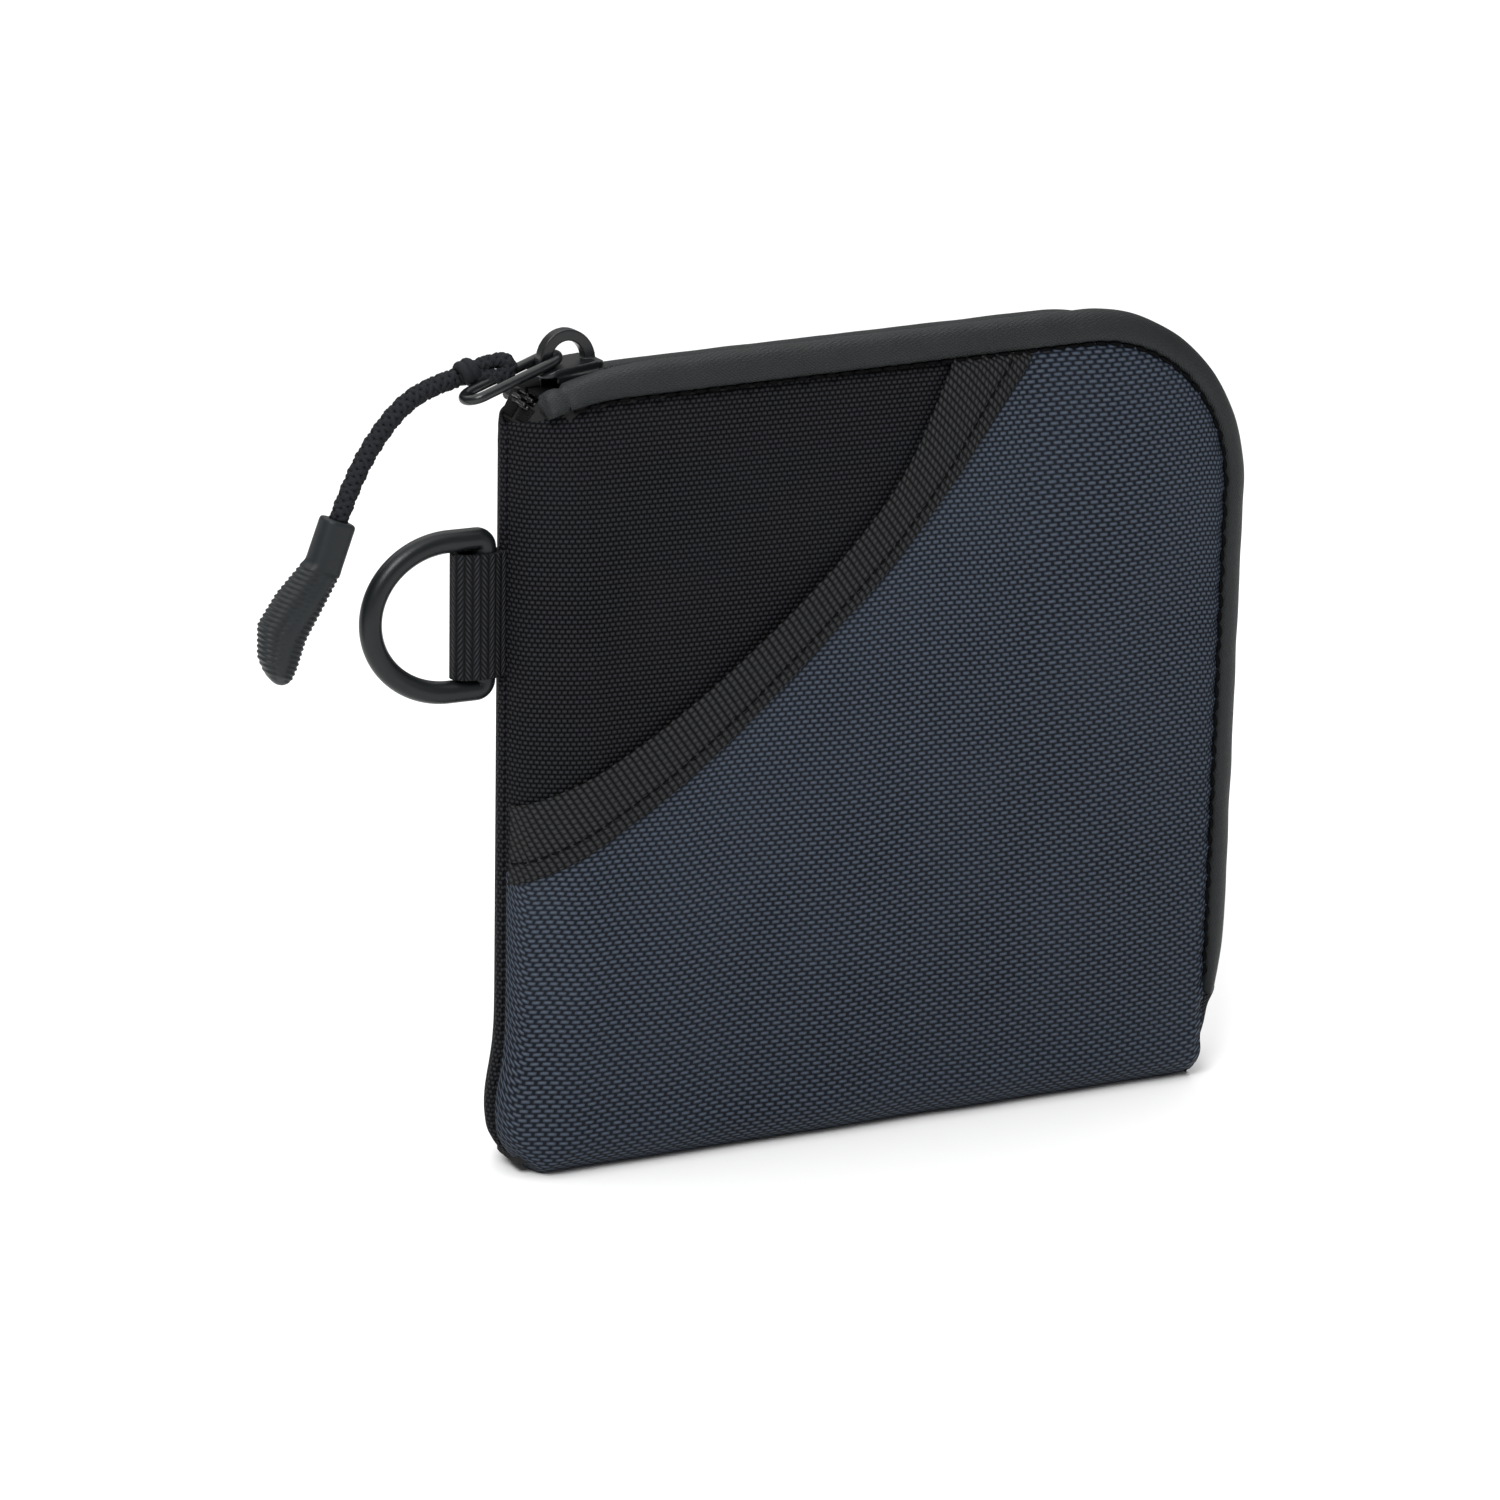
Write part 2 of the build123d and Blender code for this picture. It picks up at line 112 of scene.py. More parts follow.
# --------------------------------------
# Pull cord: a black braid of eight strands, a little under 3 mm across. It leaves the knot
# on the bail and hangs to the moulded pull, which is cast around its lower end.
cord_diameter = 2.7
cord_points = [(-69.2, 4.2, 129.4), (-73.8, 3.8, 128.5), (-78.9, 3.2, 125.9),
               (-83.6, 2.6, 120.9), (-87.3, 2.0, 115.2), (-89.9, 1.5, 109.4)]
braid_pitch = 5.2
braid_strand = 0.50
strands_each_way = 4
strand_wave = 0.16
strand_lift = 0.34


def wire(group, source, socket):
    """Links a node's output, or sets a number, on another node's input."""
    if isinstance(source, bpy.types.NodeSocket):
        group.links.new(source, socket)
    else:
        socket.default_value = source


def calc(tree, operation, *values):
    """One Math node; its inputs are numbers or sockets."""
    node = tree.nodes.new("ShaderNodeMath")
    node.operation = operation
    for value, socket in zip(values, node.inputs):
        wire(tree, value, socket)
    return node.outputs[0]


def finish_material(name, base, roughness, specular=0.5):
    """A material with its Principled shader, set to one colour and gloss."""
    made = bpy.data.materials.new(name)
    made.use_nodes = True
    shader = made.node_tree.nodes["Principled BSDF"]
    shader.inputs["Base Color"].default_value = (*base, 1)
    shader.inputs["Roughness"].default_value = roughness
    shader.inputs["Specular IOR Level"].default_value = specular
    return made, made.node_tree, shader


def new_group(name, numbers, outputs):
    """An empty shader group with a Place vector, named numbers and named outputs."""
    tree = bpy.data.node_groups.new(name, "ShaderNodeTree")
    tree.interface.new_socket("Place", in_out="INPUT", socket_type="NodeSocketVector")
    for label in numbers:
        tree.interface.new_socket(label, in_out="INPUT", socket_type="NodeSocketFloat")
    for label in outputs:
        tree.interface.new_socket(label, in_out="OUTPUT", socket_type="NodeSocketFloat")
    return tree, tree.nodes.new("NodeGroupInput"), tree.nodes.new("NodeGroupOutput")


# Cloudy: slow and fine unevenness, for colour and gloss
cloudy, cloudy_in, cloudy_out = new_group("cloudy", ["Broad", "Fine"], ["Broad Value", "Fine Value"])
for label in ("Broad", "Fine"):
    clouds = cloudy.nodes.new("ShaderNodeTexNoise")
    clouds.inputs["Detail"].default_value = 3.0
    cloudy.links.new(cloudy_in.outputs["Place"], clouds.inputs["Vector"])
    cloudy.links.new(cloudy_in.outputs[label], clouds.inputs["Scale"])
    cloudy.links.new(clouds.outputs["Fac"], cloudy_out.inputs[label + " Value"])


def place_group(tree, group, **numbers):
    """Puts a shader group in a material, with its own numbers."""
    node = tree.nodes.new("ShaderNodeGroup")
    node.node_tree = group
    for label, value in numbers.items():
        node.inputs[label.replace("_", " ")].default_value = value
    return node


def add_clouds(tree, broad, fine):
    """Unevenness by the piece's own place, in lumps per metre."""
    node = place_group(tree, cloudy, Broad=broad, Fine=fine)
    where = tree.nodes.new("ShaderNodeTexCoord")
    tree.links.new(where.outputs["Object"], node.inputs["Place"])
    return node


def blend_colours(tree, factor, dark, light):
    """A colour between two, by a mask or number."""
    node = tree.nodes.new("ShaderNodeMix")
    node.data_type = "RGBA"
    wire(tree, factor, node.inputs["Factor"])
    for value, socket in ((dark, node.inputs["A"]), (light, node.inputs["B"])):
        if isinstance(value, tuple):
            socket.default_value = (*value, 1)
        else:
            tree.links.new(value, socket)
    return node.outputs["Result"]


def add_bump(tree, shader, height, depth):
    """Relief of the given depth in metres from a height mask."""
    node = tree.nodes.new("ShaderNodeBump")
    node.inputs["Distance"].default_value = depth
    tree.links.new(height, node.inputs["Height"])
    tree.links.new(node.outputs["Normal"], shader.inputs["Normal"])


def uneven_finish(name, lumpiness, colours, roughness, specular, gloss=None, relief=0,
                  tone="Broad Value"):
    """A finish whose colour, gloss and surface vary with the clouds.

    Colours are the mean, then the darkest and lightest where they vary. Gloss is (which
    cloud, span, lowest roughness). Relief is the depth of the grain in metres.
    """
    made, tree, shader = finish_material(name, colours[0], roughness, specular)
    clouds = add_clouds(tree, *lumpiness)
    if colours[1:]:
        shade = blend_colours(tree, clouds.outputs[tone], *colours[1:])
        tree.links.new(shade, shader.inputs["Base Color"])
    if gloss:
        which, span, lowest = gloss
        rough = calc(tree, "MULTIPLY_ADD", clouds.outputs[which], span, lowest)
        tree.links.new(rough, shader.inputs["Roughness"])
    if relief:
        add_bump(tree, shader, clouds.outputs["Fine Value"], relief)
    return made, tree, shader, clouds


def make_piece(name, points, faces, paint, body, yarn=None):
    """A mesh piece from points in millimetres. Yarn is its cloth's own flat place."""
    mesh = bpy.data.meshes.new(name)
    mesh.from_pydata([tuple(p) for p in np.asarray(points, float) * MM], [], faces)
    if yarn is not None:
        spread = mesh.attributes.new("yarn", "FLOAT_VECTOR", "POINT")
        flat = np.zeros((len(mesh.vertices), 3), np.float32)
        flat[:, :2] = np.asarray(yarn, float).reshape(-1, 2)
        spread.data.foreach_set("vector", flat.ravel())
    mesh.materials.append(paint)
    mesh.update()
    piece = bpy.data.objects.new(name, mesh)
    bpy.context.scene.collection.objects.link(piece)
    shape = bmesh.new()
    shape.from_mesh(mesh)
    bmesh.ops.recalc_face_normals(shape, faces=shape.faces)
    shape.to_mesh(mesh)
    shape.free()
    mesh.polygons.foreach_set("use_smooth", [True] * len(mesh.polygons))
    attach(piece, body)
    return piece


def lengths_along(points):
    """Distance from the first point to each point of a path."""
    return np.concatenate([[0], np.cumsum(np.linalg.norm(np.diff(points, axis=0), axis=1))])


def evenly(points, count):
    """The same path with a number of evenly spaced points."""
    length = lengths_along(points)
    even = np.linspace(0, length[-1], count)
    return np.stack([np.interp(even, length, column) for column in points.T], axis=1)


def carried_sides(path):
    """Two directions across a path at each point, carried along it without twist."""
    way = np.gradient(path, axis=0)
    way /= np.linalg.norm(way, axis=1)[:, None]
    side = np.cross(way[0], (0.0, 1.0, 0.0))
    sides, others = [], []
    for forward in way:
        side = side - forward * side.dot(forward)
        side /= np.linalg.norm(side)
        sides.append(side)
        others.append(np.cross(forward, side))
    return np.array(sides), np.array(others)


def tube_faces(rings, sides):
    """Faces between rings of points, with a cap at each end."""
    faces = []
    for k in range(rings - 1):
        for j in range(sides):
            a, b = k * sides + j, k * sides + (j + 1) % sides
            faces.append((a, b, b + sides, a + sides))
    last = (rings - 1) * sides
    faces.append(tuple(range(sides))[::-1])
    faces.append(tuple(last + j for j in range(sides)))
    return faces


def tube_points(path, radius, sides):
    """A round tube of the given radius along a path, as points and faces."""
    path = np.asarray(path, float)
    radius = np.broadcast_to(radius, (len(path),))
    turn = np.linspace(0, 2 * np.pi, sides, endpoint=False)[:, None]
    rings = [point + reach * (np.cos(turn) * side + np.sin(turn) * other)
             for point, reach, side, other in zip(path, radius, *carried_sides(path))]
    return np.concatenate(rings), tube_faces(len(path), sides)


def join_shapes(shapes):
    """Several (points, faces) as one."""
    points, faces, start = [], [], 0
    for own_points, own_faces in shapes:
        points.append(own_points)
        faces += [tuple(v + start for v in face) for face in own_faces]
        start += len(own_points)
    return np.concatenate(points), faces


def spline_path(name, points, spacing=0.25):
    """Even points in millimetres on the smooth line that a route's points control."""
    curve = bpy.data.curves.new(name, "CURVE")
    curve.dimensions = "3D"
    curve.resolution_u = 24
    run = curve.splines.new("NURBS")
    run.points.add(len(points) - 1)
    for knot, point in zip(run.points, points):
        knot.co = (*(value * MM for value in point), 1)
    run.order_u = 3
    run.use_endpoint_u = True
    holder = bpy.data.objects.new(name, curve)
    line = bpy.data.meshes.new_from_object(holder)
    found = np.array([v.co for v in line.vertices], float) / MM
    bpy.data.objects.remove(holder)
    return evenly(found, int(lengths_along(found)[-1] / spacing))


def braid_shape(path, diameter):
    """Eight strands that pass over and under each other round a core."""
    along = lengths_along(path)
    sides, others = carried_sides(path)
    centre = diameter / 2 - braid_strand
    crossings = 2 * np.pi * along / braid_pitch
    shapes = [tube_points(path, centre, 12)]
    for hand in (-1, 1):
        for strand in range(strands_each_way):
            angle = hand * crossings + strand * 2 * np.pi / strands_each_way
            wave = strand_wave * hand * np.cos(strands_each_way * crossings + strand * np.pi)
            reach = (centre + strand_lift * braid_strand + wave)[:, None]
            line = path + reach * (np.cos(angle)[:, None] * sides + np.sin(angle)[:, None] * others)
            shapes.append(tube_points(line, braid_strand, 7))
    return join_shapes(shapes)


braid_colours = [(0.012, 0.013, 0.015), (0.003, 0.0035, 0.0045), (0.022, 0.023, 0.027)]
braid_black = uneven_finish("braid_black", (500.0, 6000.0), braid_colours, 0.72, 0.12,
                            relief=0.00009, tone="Fine Value")[0]

cord_path = spline_path("cord_route", cord_points)
hanging_cord = make_piece("hanging_cord", *braid_shape(cord_path, cord_diameter), braid_black, "pull")
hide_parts("pull_cord")

# --------------------------------------
# Knot and loop: the same braid goes once round the bail's rear arm, and both its ends are
# tied in one small overhand knot.
knot_turns = 1.75
knot_coil = 1.25
knot_cord = 0.98
knot_half_length = 1.0
bight_half_length, bight_lift, bight_radius = 2.0, 0.7, 1.25
loop_diameter = 2.1
loop_points = [(-67.4, 4.3, 130.3), (-65.2, 4.1, 131.1), (-63.2, 3.6, 131.7), (-61.6, 2.9, 132.0),
               (-60.7, 2.2, 131.2), (-61.6, 1.9, 129.9), (-63.6, 2.6, 129.3), (-66.8, 3.9, 129.8)]

knot_middle = (np.array(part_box("cord_knot")[0]) + np.array(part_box("cord_knot")[1])) / 2 / MM
knot_way = np.array(cord_points[0]) - np.array(loop_points[1])
knot_way /= np.linalg.norm(knot_way)
knot_side = np.cross(knot_way, (0.0, 0.0, 1.0))
knot_side /= np.linalg.norm(knot_side)
knot_over = np.cross(knot_way, knot_side)
turn = np.linspace(-np.pi * knot_turns, np.pi * knot_turns, 90)
knot_line = (knot_middle + np.outer(turn / (np.pi * knot_turns) * knot_half_length, knot_way)
             + knot_coil * (np.outer(np.cos(turn), knot_side) + np.outer(np.sin(turn), knot_over)))
crossing = np.linspace(-1, 1, 30)[:, None]
knot_bight = (knot_middle + crossing * bight_half_length * knot_way
              + np.cos(crossing * 1.5) * bight_lift * knot_over)
knot_shapes = join_shapes([tube_points(knot_line, knot_cord, 14), tube_points(knot_bight, bight_radius, 14)])
knot = make_piece("cord_knot_tied", *knot_shapes, braid_black, "bail")
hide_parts("cord_knot")
loop_path = spline_path("loop_route", loop_points)
loop = make_piece("cord_loop_braid", *braid_shape(loop_path, loop_diameter), braid_black, "bail")
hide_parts("cord_loop")

# --------------------------------------
# Pull: soft dark rubber, moulded in one shot. A smooth collar grips the cord, and below it
# a curved body has fine ribs on both edges and a smooth raised spine between them.
pull_length = 27.0
pull_lean = math.radians(20.0)
pull_stations = [(0.0, 0.0, 2.75, 2.5), (0.27, 0.0, 2.75, 2.6), (0.30, 0.25, 3.1, 2.6),
                 (0.50, 1.9, 3.8, 2.9), (0.70, 3.1, 4.0, 2.9), (0.88, 2.2, 3.2, 2.6), (1.0, 0.9, 1.7, 1.6)]
rib_pitch = 0.82
rib_depth = 0.21
rib_first, rib_last, rib_ease = 0.295, 0.97, (0.02, 0.03)
spine_half, spine_edge, spine_rise = 0.26, 0.10, 0.28
squareness = 0.72
tip_share, lip_share, lip_round = 0.07, 0.025, 0.14
easing_steps = 17
pull_steps = 230
pull_sides = 56


def rounded(share):
    """A quarter circle's rise, from 0 to 1."""
    return np.sqrt(1 - (1 - np.clip(share, 0, 1)) ** 2)


share = np.linspace(0, 1, pull_steps)
known = np.array(pull_stations)
easing = np.hanning(easing_steps) / np.hanning(easing_steps).sum()
swing, half, thick = (np.interp(share, known[:, 0], known[:, k]) for k in (1, 2, 3))
swing, half, thick = (np.convolve(np.pad(value, easing_steps // 2, "edge"), easing, "valid")
                      for value in (swing, half, thick))
ends = np.maximum(rounded((1 - share) / tip_share), 0.02)
ends = ends * (1 - lip_round + lip_round * rounded(share / lip_share))
half, thick = half * ends, thick * ends
pull_top = np.array(cord_points[-1])
down = np.array((-math.sin(pull_lean), 0, -math.cos(pull_lean)))
inwards = np.array((math.cos(pull_lean), 0, -math.sin(pull_lean)))
facing = np.array((0, -1.0, 0))
angle = np.linspace(0, 2 * np.pi, pull_sides, endpoint=False)
across = np.sign(np.cos(angle)) * np.abs(np.cos(angle)) ** squareness
deep = np.sign(np.sin(angle)) * np.abs(np.sin(angle)) ** squareness
rings = []
for k, t in enumerate(share):
    ribbed_here = (np.clip((t - rib_first) / rib_ease[0], 0, 1)
                   * np.clip((rib_last - t) / rib_ease[1], 0, 1))
    spine_middle = 0.10 + 0.6 * (0.6 - t)
    beside = np.clip((np.abs(across - spine_middle) - spine_half) / spine_edge, 0, 1)
    groove = 0.5 - 0.5 * np.cos(2 * np.pi * t * pull_length / rib_pitch)
    wave = rib_depth * ribbed_here * beside * groove
    ridge = spine_rise * ribbed_here * (1 - beside)
    middle = pull_top + down * t * pull_length - inwards * swing[k]
    rings.append(middle + np.outer(across * (half[k] - wave), inwards)
                 + np.outer(deep * (thick[k] - wave + ridge), facing))

rubber_colours = [(0.012, 0.014, 0.016), (0.009, 0.011, 0.0125), (0.015, 0.018, 0.020)]
pull_rubber = uneven_finish("pull_rubber", (160.0, 9000.0), rubber_colours, 0.45, 0.22, relief=0.00003)[0]
pull = make_piece("rubber_pull", np.concatenate(rings), tube_faces(pull_steps, pull_sides),
                  pull_rubber, "pull")
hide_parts("pull_end")

# --------------------------------------
# Slider and bail: a zinc casting in black enamel, its edges softened by the paint, and a
# closed ring of drawn wire hooked through the crown.
casting_grain = 0.00013
casting_rounds = 5

enamel_colours = [(0.008, 0.009, 0.010), (0.003, 0.0035, 0.004), (0.007, 0.008, 0.009)]
enamel, tree, shader, clouds = uneven_finish("black_enamel", (400.0, 3000.0), enamel_colours, 0.30, 0.32,
                                             gloss=("Broad Value", 0.18, 0.22), relief=0.000015)
shader.inputs["Coat Weight"].default_value = 0.15
shader.inputs["Coat Roughness"].default_value = 0.22

slider = bpy.data.objects.new("slider_casting", nodes["slider_body"].data.copy())
bpy.context.scene.collection.objects.link(slider)
remesh = slider.modifiers.new("cast", "REMESH")
remesh.mode = "VOXEL"
remesh.voxel_size = casting_grain
soften = slider.modifiers.new("paint", "SMOOTH")
soften.iterations = casting_rounds
shown = slider.evaluated_get(bpy.context.evaluated_depsgraph_get())
cast_mesh = bpy.data.meshes.new_from_object(shown)
slider.modifiers.clear()
slider.data = cast_mesh
cast_mesh.materials.clear()
cast_mesh.materials.append(enamel)
cast_mesh.polygons.foreach_set("use_smooth", [True] * len(cast_mesh.polygons))
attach(slider, "slider")
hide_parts("slider_body")


def paint_node(name, paint):
    """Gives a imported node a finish, in its object's own slots."""
    node = nodes[name]
    if not node.material_slots:
        node.data.materials.append(paint)
    for place in node.material_slots:
        place.link = "OBJECT"
        place.material = paint


paint_node("wire_bail", enamel)

# --------------------------------------
# The pouch's shape: front and back bulge from the thin left side to the zip, over a flat
# fold that it stands on. Every cloth piece below is laid on this shape.
low, high = (np.array(corner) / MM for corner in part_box("back_panel"))
left_x, right_x = low[0], high[0]
seam_height = 129.0
corner_radius = 27.0
corner_x = right_x - corner_radius
top_slope = math.tan(math.radians(1.5))
middle_half, seam_half, left_half = high[1], 9.0, 3.4
shoulder_run, shoulder_drop = 15.0, 1.3
near_run, near_drop = 4.5, 1.2
base_half, base_bend, base_swell = 4.5, 9.0, 5.2
bend_part, bend_swell = 2.8, 3.6
melt = 1.3
corner_dip, corner_dip_run, corner_dip_height = 3.6, 17.0, 8
crease_depth, crease_width = 0.6, 1.1
pucker_pitch, pucker_depth, pucker_reach = 5.2, 0.22, 2.6
wave_depth, wave_size, ripple_size, ripple_share = 0.42, 34.0, 13.0, 0.35
calm_side, calm_low, calm_seam = 14.0, 14.0, 10.0
bottom_depth, bottom_height, bottom_size = 0.5, 9.0, 17.0
thinnest = 0.4
wrap_columns, flat_columns, corner_columns = 9, 150, 44
front_seed, back_seed = 3, 12
wrap_radius, wrap_share = 2.4, 0.62
flare_out, flare_height, flare_spread = 1.7, 11.0, 8.0
round_in, round_height, side_spread = 4.6, 7.5, 5.5


def arc_height(a, b, c, at):
    """Height, at given places, of the upper side of the circle through three points."""
    (x1, y1), (x2, y2), (x3, y3) = a, b, c
    d = 2 * (x1 * (y2 - y3) + x2 * (y3 - y1) + x3 * (y1 - y2))
    q1, q2, q3 = x1 ** 2 + y1 ** 2, x2 ** 2 + y2 ** 2, x3 ** 2 + y3 ** 2
    cx = (q1 * (y2 - y3) + q2 * (y3 - y1) + q3 * (y1 - y2)) / d
    cy = (q1 * (x3 - x2) + q2 * (x1 - x3) + q3 * (x2 - x1)) / d
    return cy + np.sqrt(np.maximum((x1 - cx) ** 2 + (y1 - cy) ** 2 - (at - cx) ** 2, 0))


def top_of(x):
    """Height of the outline over x, before the top edge's slope and dip."""
    past = np.clip(x - corner_x, 0, corner_radius)
    return seam_height - corner_radius + np.sqrt(corner_radius ** 2 - past ** 2)


def settle(x, z):
    """Adds the top edge's slope and the sunken left corner to a height."""
    share_up = np.clip(z / seam_height, 0, 1)
    sunk = np.clip((left_x + corner_dip_run - x) / corner_dip_run, 0, 1) ** 2
    return z + top_slope * (x - corner_x) * share_up - corner_dip * sunk * share_up ** corner_dip_height


def lean_side(x, z):
    """Sideways shift of the left edge: it flares above the foot and is rounded under it."""
    beside = np.exp(-((x - left_x) / side_spread) ** 2)
    flare = flare_out * np.exp(-((z - flare_height) / flare_spread) ** 2)
    return beside * (round_in * np.clip(1 - z / round_height, 0, 1) ** 2 - flare)


def edge_gap(x, z):
    """Distance in from the top and right seams."""
    beyond = np.hypot(np.maximum(x - corner_x, 0), np.maximum(z - seam_height + corner_radius, 0))
    in_corner = (x > corner_x) & (z > seam_height - corner_radius)
    straight = np.minimum(right_x - x, seam_height - z)
    return np.maximum(np.where(in_corner, corner_radius - beyond, straight), 0)


def lumps(x, z, size, seed):
    """Slow smooth unevenness between -1 and 1."""
    flat = [noise.noise(Vector((a / size, b / size, seed))) for a, b in zip(np.ravel(x), np.ravel(z))]
    return np.reshape(flat, np.shape(x))


def half_depth(x, z, seed):
    """Half thickness of the stuffed pouch, with its crease, puckers and waves."""
    shoulder_x = left_x + shoulder_run
    shoulder = (shoulder_x, middle_half - shoulder_drop)
    near = arc_height((left_x, left_half), (left_x + near_run, seam_half - near_drop), shoulder,
                      np.minimum(x, shoulder_x))
    far = arc_height(shoulder, (0, middle_half), (right_x, seam_half), np.maximum(x, shoulder_x))
    plan = np.where(x < shoulder_x, near, far)
    turned = 1 - np.clip((x - left_x) / wrap_radius, 0, 1)
    plan = plan * (1 - wrap_share + wrap_share * np.sqrt(1 - turned ** 2))
    bend_top = (base_bend, base_half + base_swell)
    fold = arc_height((0.0, base_half), (bend_part, base_half + bend_swell), bend_top,
                      np.minimum(z, base_bend))
    face = arc_height(bend_top, (seam_height / 2, middle_half), (seam_height, seam_half),
                      np.maximum(z, base_bend))
    side_view = np.where(z < base_bend, fold, face)
    mixed = np.clip(0.5 + 0.5 * (side_view - plan) / melt, 0, 1)
    depth = side_view * (1 - mixed) + plan * mixed - melt * mixed * (1 - mixed)
    gap = edge_gap(x, z)
    pucker = pucker_depth * np.exp(-gap / pucker_reach) * (1 + 0.5 * lumps(x, z, 9.0, seed + 4))
    depth += pucker * np.sin(2 * np.pi * (x - z) / pucker_pitch + 2.0 * lumps(x, z, 20.0, seed + 7))
    depth -= crease_depth * np.exp(-(gap / crease_width) ** 2)
    calm = (np.clip((x - left_x) / calm_side, 0, 1) * np.clip(z / calm_low, 0.15, 1)
            * np.clip(gap / calm_seam, 0, 1))
    waves = lumps(x, z, wave_size, seed) + ripple_share * lumps(x, z, ripple_size, seed + 2)
    depth += wave_depth * calm * waves
    bottom = bottom_depth * np.exp(-(z / bottom_height) ** 2) * np.clip((x - left_x) / 6, 0, 1)
    depth += bottom * lumps(x, 0 * z, bottom_size, seed + 9)
    return np.maximum(depth, thinnest)


def column_places(left):
    """Places across the pouch, closer together at its rounded left side and right corner."""
    wrapped = left + wrap_radius * (1 - np.cos(np.linspace(0, np.pi / 2, wrap_columns)))[:-1]
    flat = np.concatenate([wrapped, np.linspace(left + wrap_radius, corner_x, flat_columns)])
    turned = corner_x + corner_radius * np.sin(np.linspace(0, np.pi / 2, corner_columns))[1:]
    return np.concatenate([flat, turned])


def arc_lengths(grid, axis):
    """Distance along each row or column of a grid of points."""
    steps = np.linalg.norm(np.diff(grid, axis=axis), axis=2)
    return np.insert(np.cumsum(steps, axis=axis), 0, 0.0, axis=axis)


def cloth_piece(name, grid, paint, body, thickness, outward=1):
    """A sheet of cloth over a grid of outer points, given its thickness inwards."""
    across, up = grid.shape[:2]
    middle = across // 2
    sideways = arc_lengths(grid, 0)
    sideways -= sideways[middle:middle + 1]
    yarn = np.stack([sideways, arc_lengths(grid, 1)], axis=2)
    faces = [(i * up + j, (i + 1) * up + j, (i + 1) * up + j + 1, i * up + j + 1)
             for i in range(across - 1) for j in range(up - 1)]
    piece = make_piece(name, grid.reshape(-1, 3), faces, paint, body, yarn)
    probe = piece.data.polygons[middle * (up - 1) + (up - 1) // 2]
    if probe.normal.y * outward < 0:
        piece.data.flip_normals()
    shell = piece.modifiers.new("cloth", "SOLIDIFY")
    shell.thickness = thickness * MM
    shell.offset = -1.0
    shell.use_even_offset = False
    bpy.context.view_layer.update()
    solid = bpy.data.meshes.new_from_object(
        piece.evaluated_get(bpy.context.evaluated_depsgraph_get()))
    piece.modifiers.clear()
    piece.data = solid
    return piece


# --------------------------------------
# Front panel: plain-woven black polyester over foam, sewn in at the zip and turned at the
# left side. It shows above the pocket.
panel_under = 0.95
panel_thick = 0.6
panel_foot = 6.0
panel_in = 0.15
face_rows = 150
black_spacing = (0.48, 0.76, 0.78)

# Crossed yarns: each row's floats lie between those of its neighbours, with cross yarns below
crossed, weave_in, weave_out = new_group("crossed_yarns", ["Column", "Row", "Float"], ["Height", "Weft"])
split = crossed.nodes.new("ShaderNodeSeparateXYZ")
crossed.links.new(weave_in.outputs["Place"], split.inputs[0])
u = calc(crossed, "DIVIDE", split.outputs["X"], weave_in.outputs["Column"])
v = calc(crossed, "DIVIDE", split.outputs["Y"], weave_in.outputs["Row"])
turns = calc(crossed, "MULTIPLY", calc(crossed, "ADD", u, calc(crossed, "FLOOR", v)), 0.5)
from_middle = calc(crossed, "SUBTRACT", calc(crossed, "FRACT", turns), 0.5)
part = calc(crossed, "ADD", calc(crossed, "DIVIDE", from_middle, weave_in.outputs["Float"]), 0.5)
part = calc(crossed, "MINIMUM", calc(crossed, "MAXIMUM", part, 0.0), 1.0)
bow = calc(crossed, "ABSOLUTE", calc(crossed, "SINE", calc(crossed, "MULTIPLY", part, math.pi)))
along = calc(crossed, "POWER", bow, 0.5)
over = calc(crossed, "ABSOLUTE", calc(crossed, "SINE", calc(crossed, "MULTIPLY", v, math.pi)))
over = calc(crossed, "POWER", over, 1.5)
weft_seen = calc(crossed, "MULTIPLY", along, over)
warp_seen = calc(crossed, "MULTIPLY", calc(crossed, "SUBTRACT", 1.0, along), 0.4)
crossed.links.new(calc(crossed, "ADD", weft_seen, warp_seen), weave_out.inputs["Height"])
crossed.links.new(weft_seen, weave_out.inputs["Weft"])


def place_on_cloth(tree, group, **numbers):
    """Puts a pattern group in a material, laid out by the cloth's own flat place."""
    node = place_group(tree, group, **numbers)
    place = tree.nodes.new("ShaderNodeAttribute")
    place.attribute_name = "yarn"
    tree.links.new(place.outputs["Vector"], node.inputs["Place"])
    return node


def woven(name, gap, warp, weft, spacing, relief, roughness, specular):
    """A woven cloth: colours of gaps and yarns; column, row in mm and the floats' share."""
    made, tree, shader = finish_material(name, warp, roughness, specular)
    weave = place_on_cloth(tree, crossed, Column=spacing[0], Row=spacing[1], Float=spacing[2])
    uneven = add_clouds(tree, 55.0, 2600.0)
    ground = blend_colours(tree, weave.outputs["Height"], gap, warp)
    lit = calc(tree, "MULTIPLY", weave.outputs["Weft"],
               calc(tree, "MULTIPLY_ADD", uneven.outputs["Fine Value"], 0.8, 0.6))
    colour = blend_colours(tree, lit, ground, weft)
    wear = calc(tree, "MULTIPLY_ADD", uneven.outputs["Broad Value"], 0.16, -0.05)
    tree.links.new(blend_colours(tree, wear, colour, weft), shader.inputs["Base Color"])
    tree.links.new(calc(tree, "MULTIPLY_ADD", weave.outputs["Height"], -0.12, roughness + 0.06),
                   shader.inputs["Roughness"])
    add_bump(tree, shader, weave.outputs["Height"], relief)
    return made


black_cloth = woven("black_plain_weave", (0.0004, 0.0004, 0.0005), (0.0024, 0.0026, 0.0032),
                    (0.024, 0.025, 0.029), black_spacing, 0.00016, 0.74, 0.05)


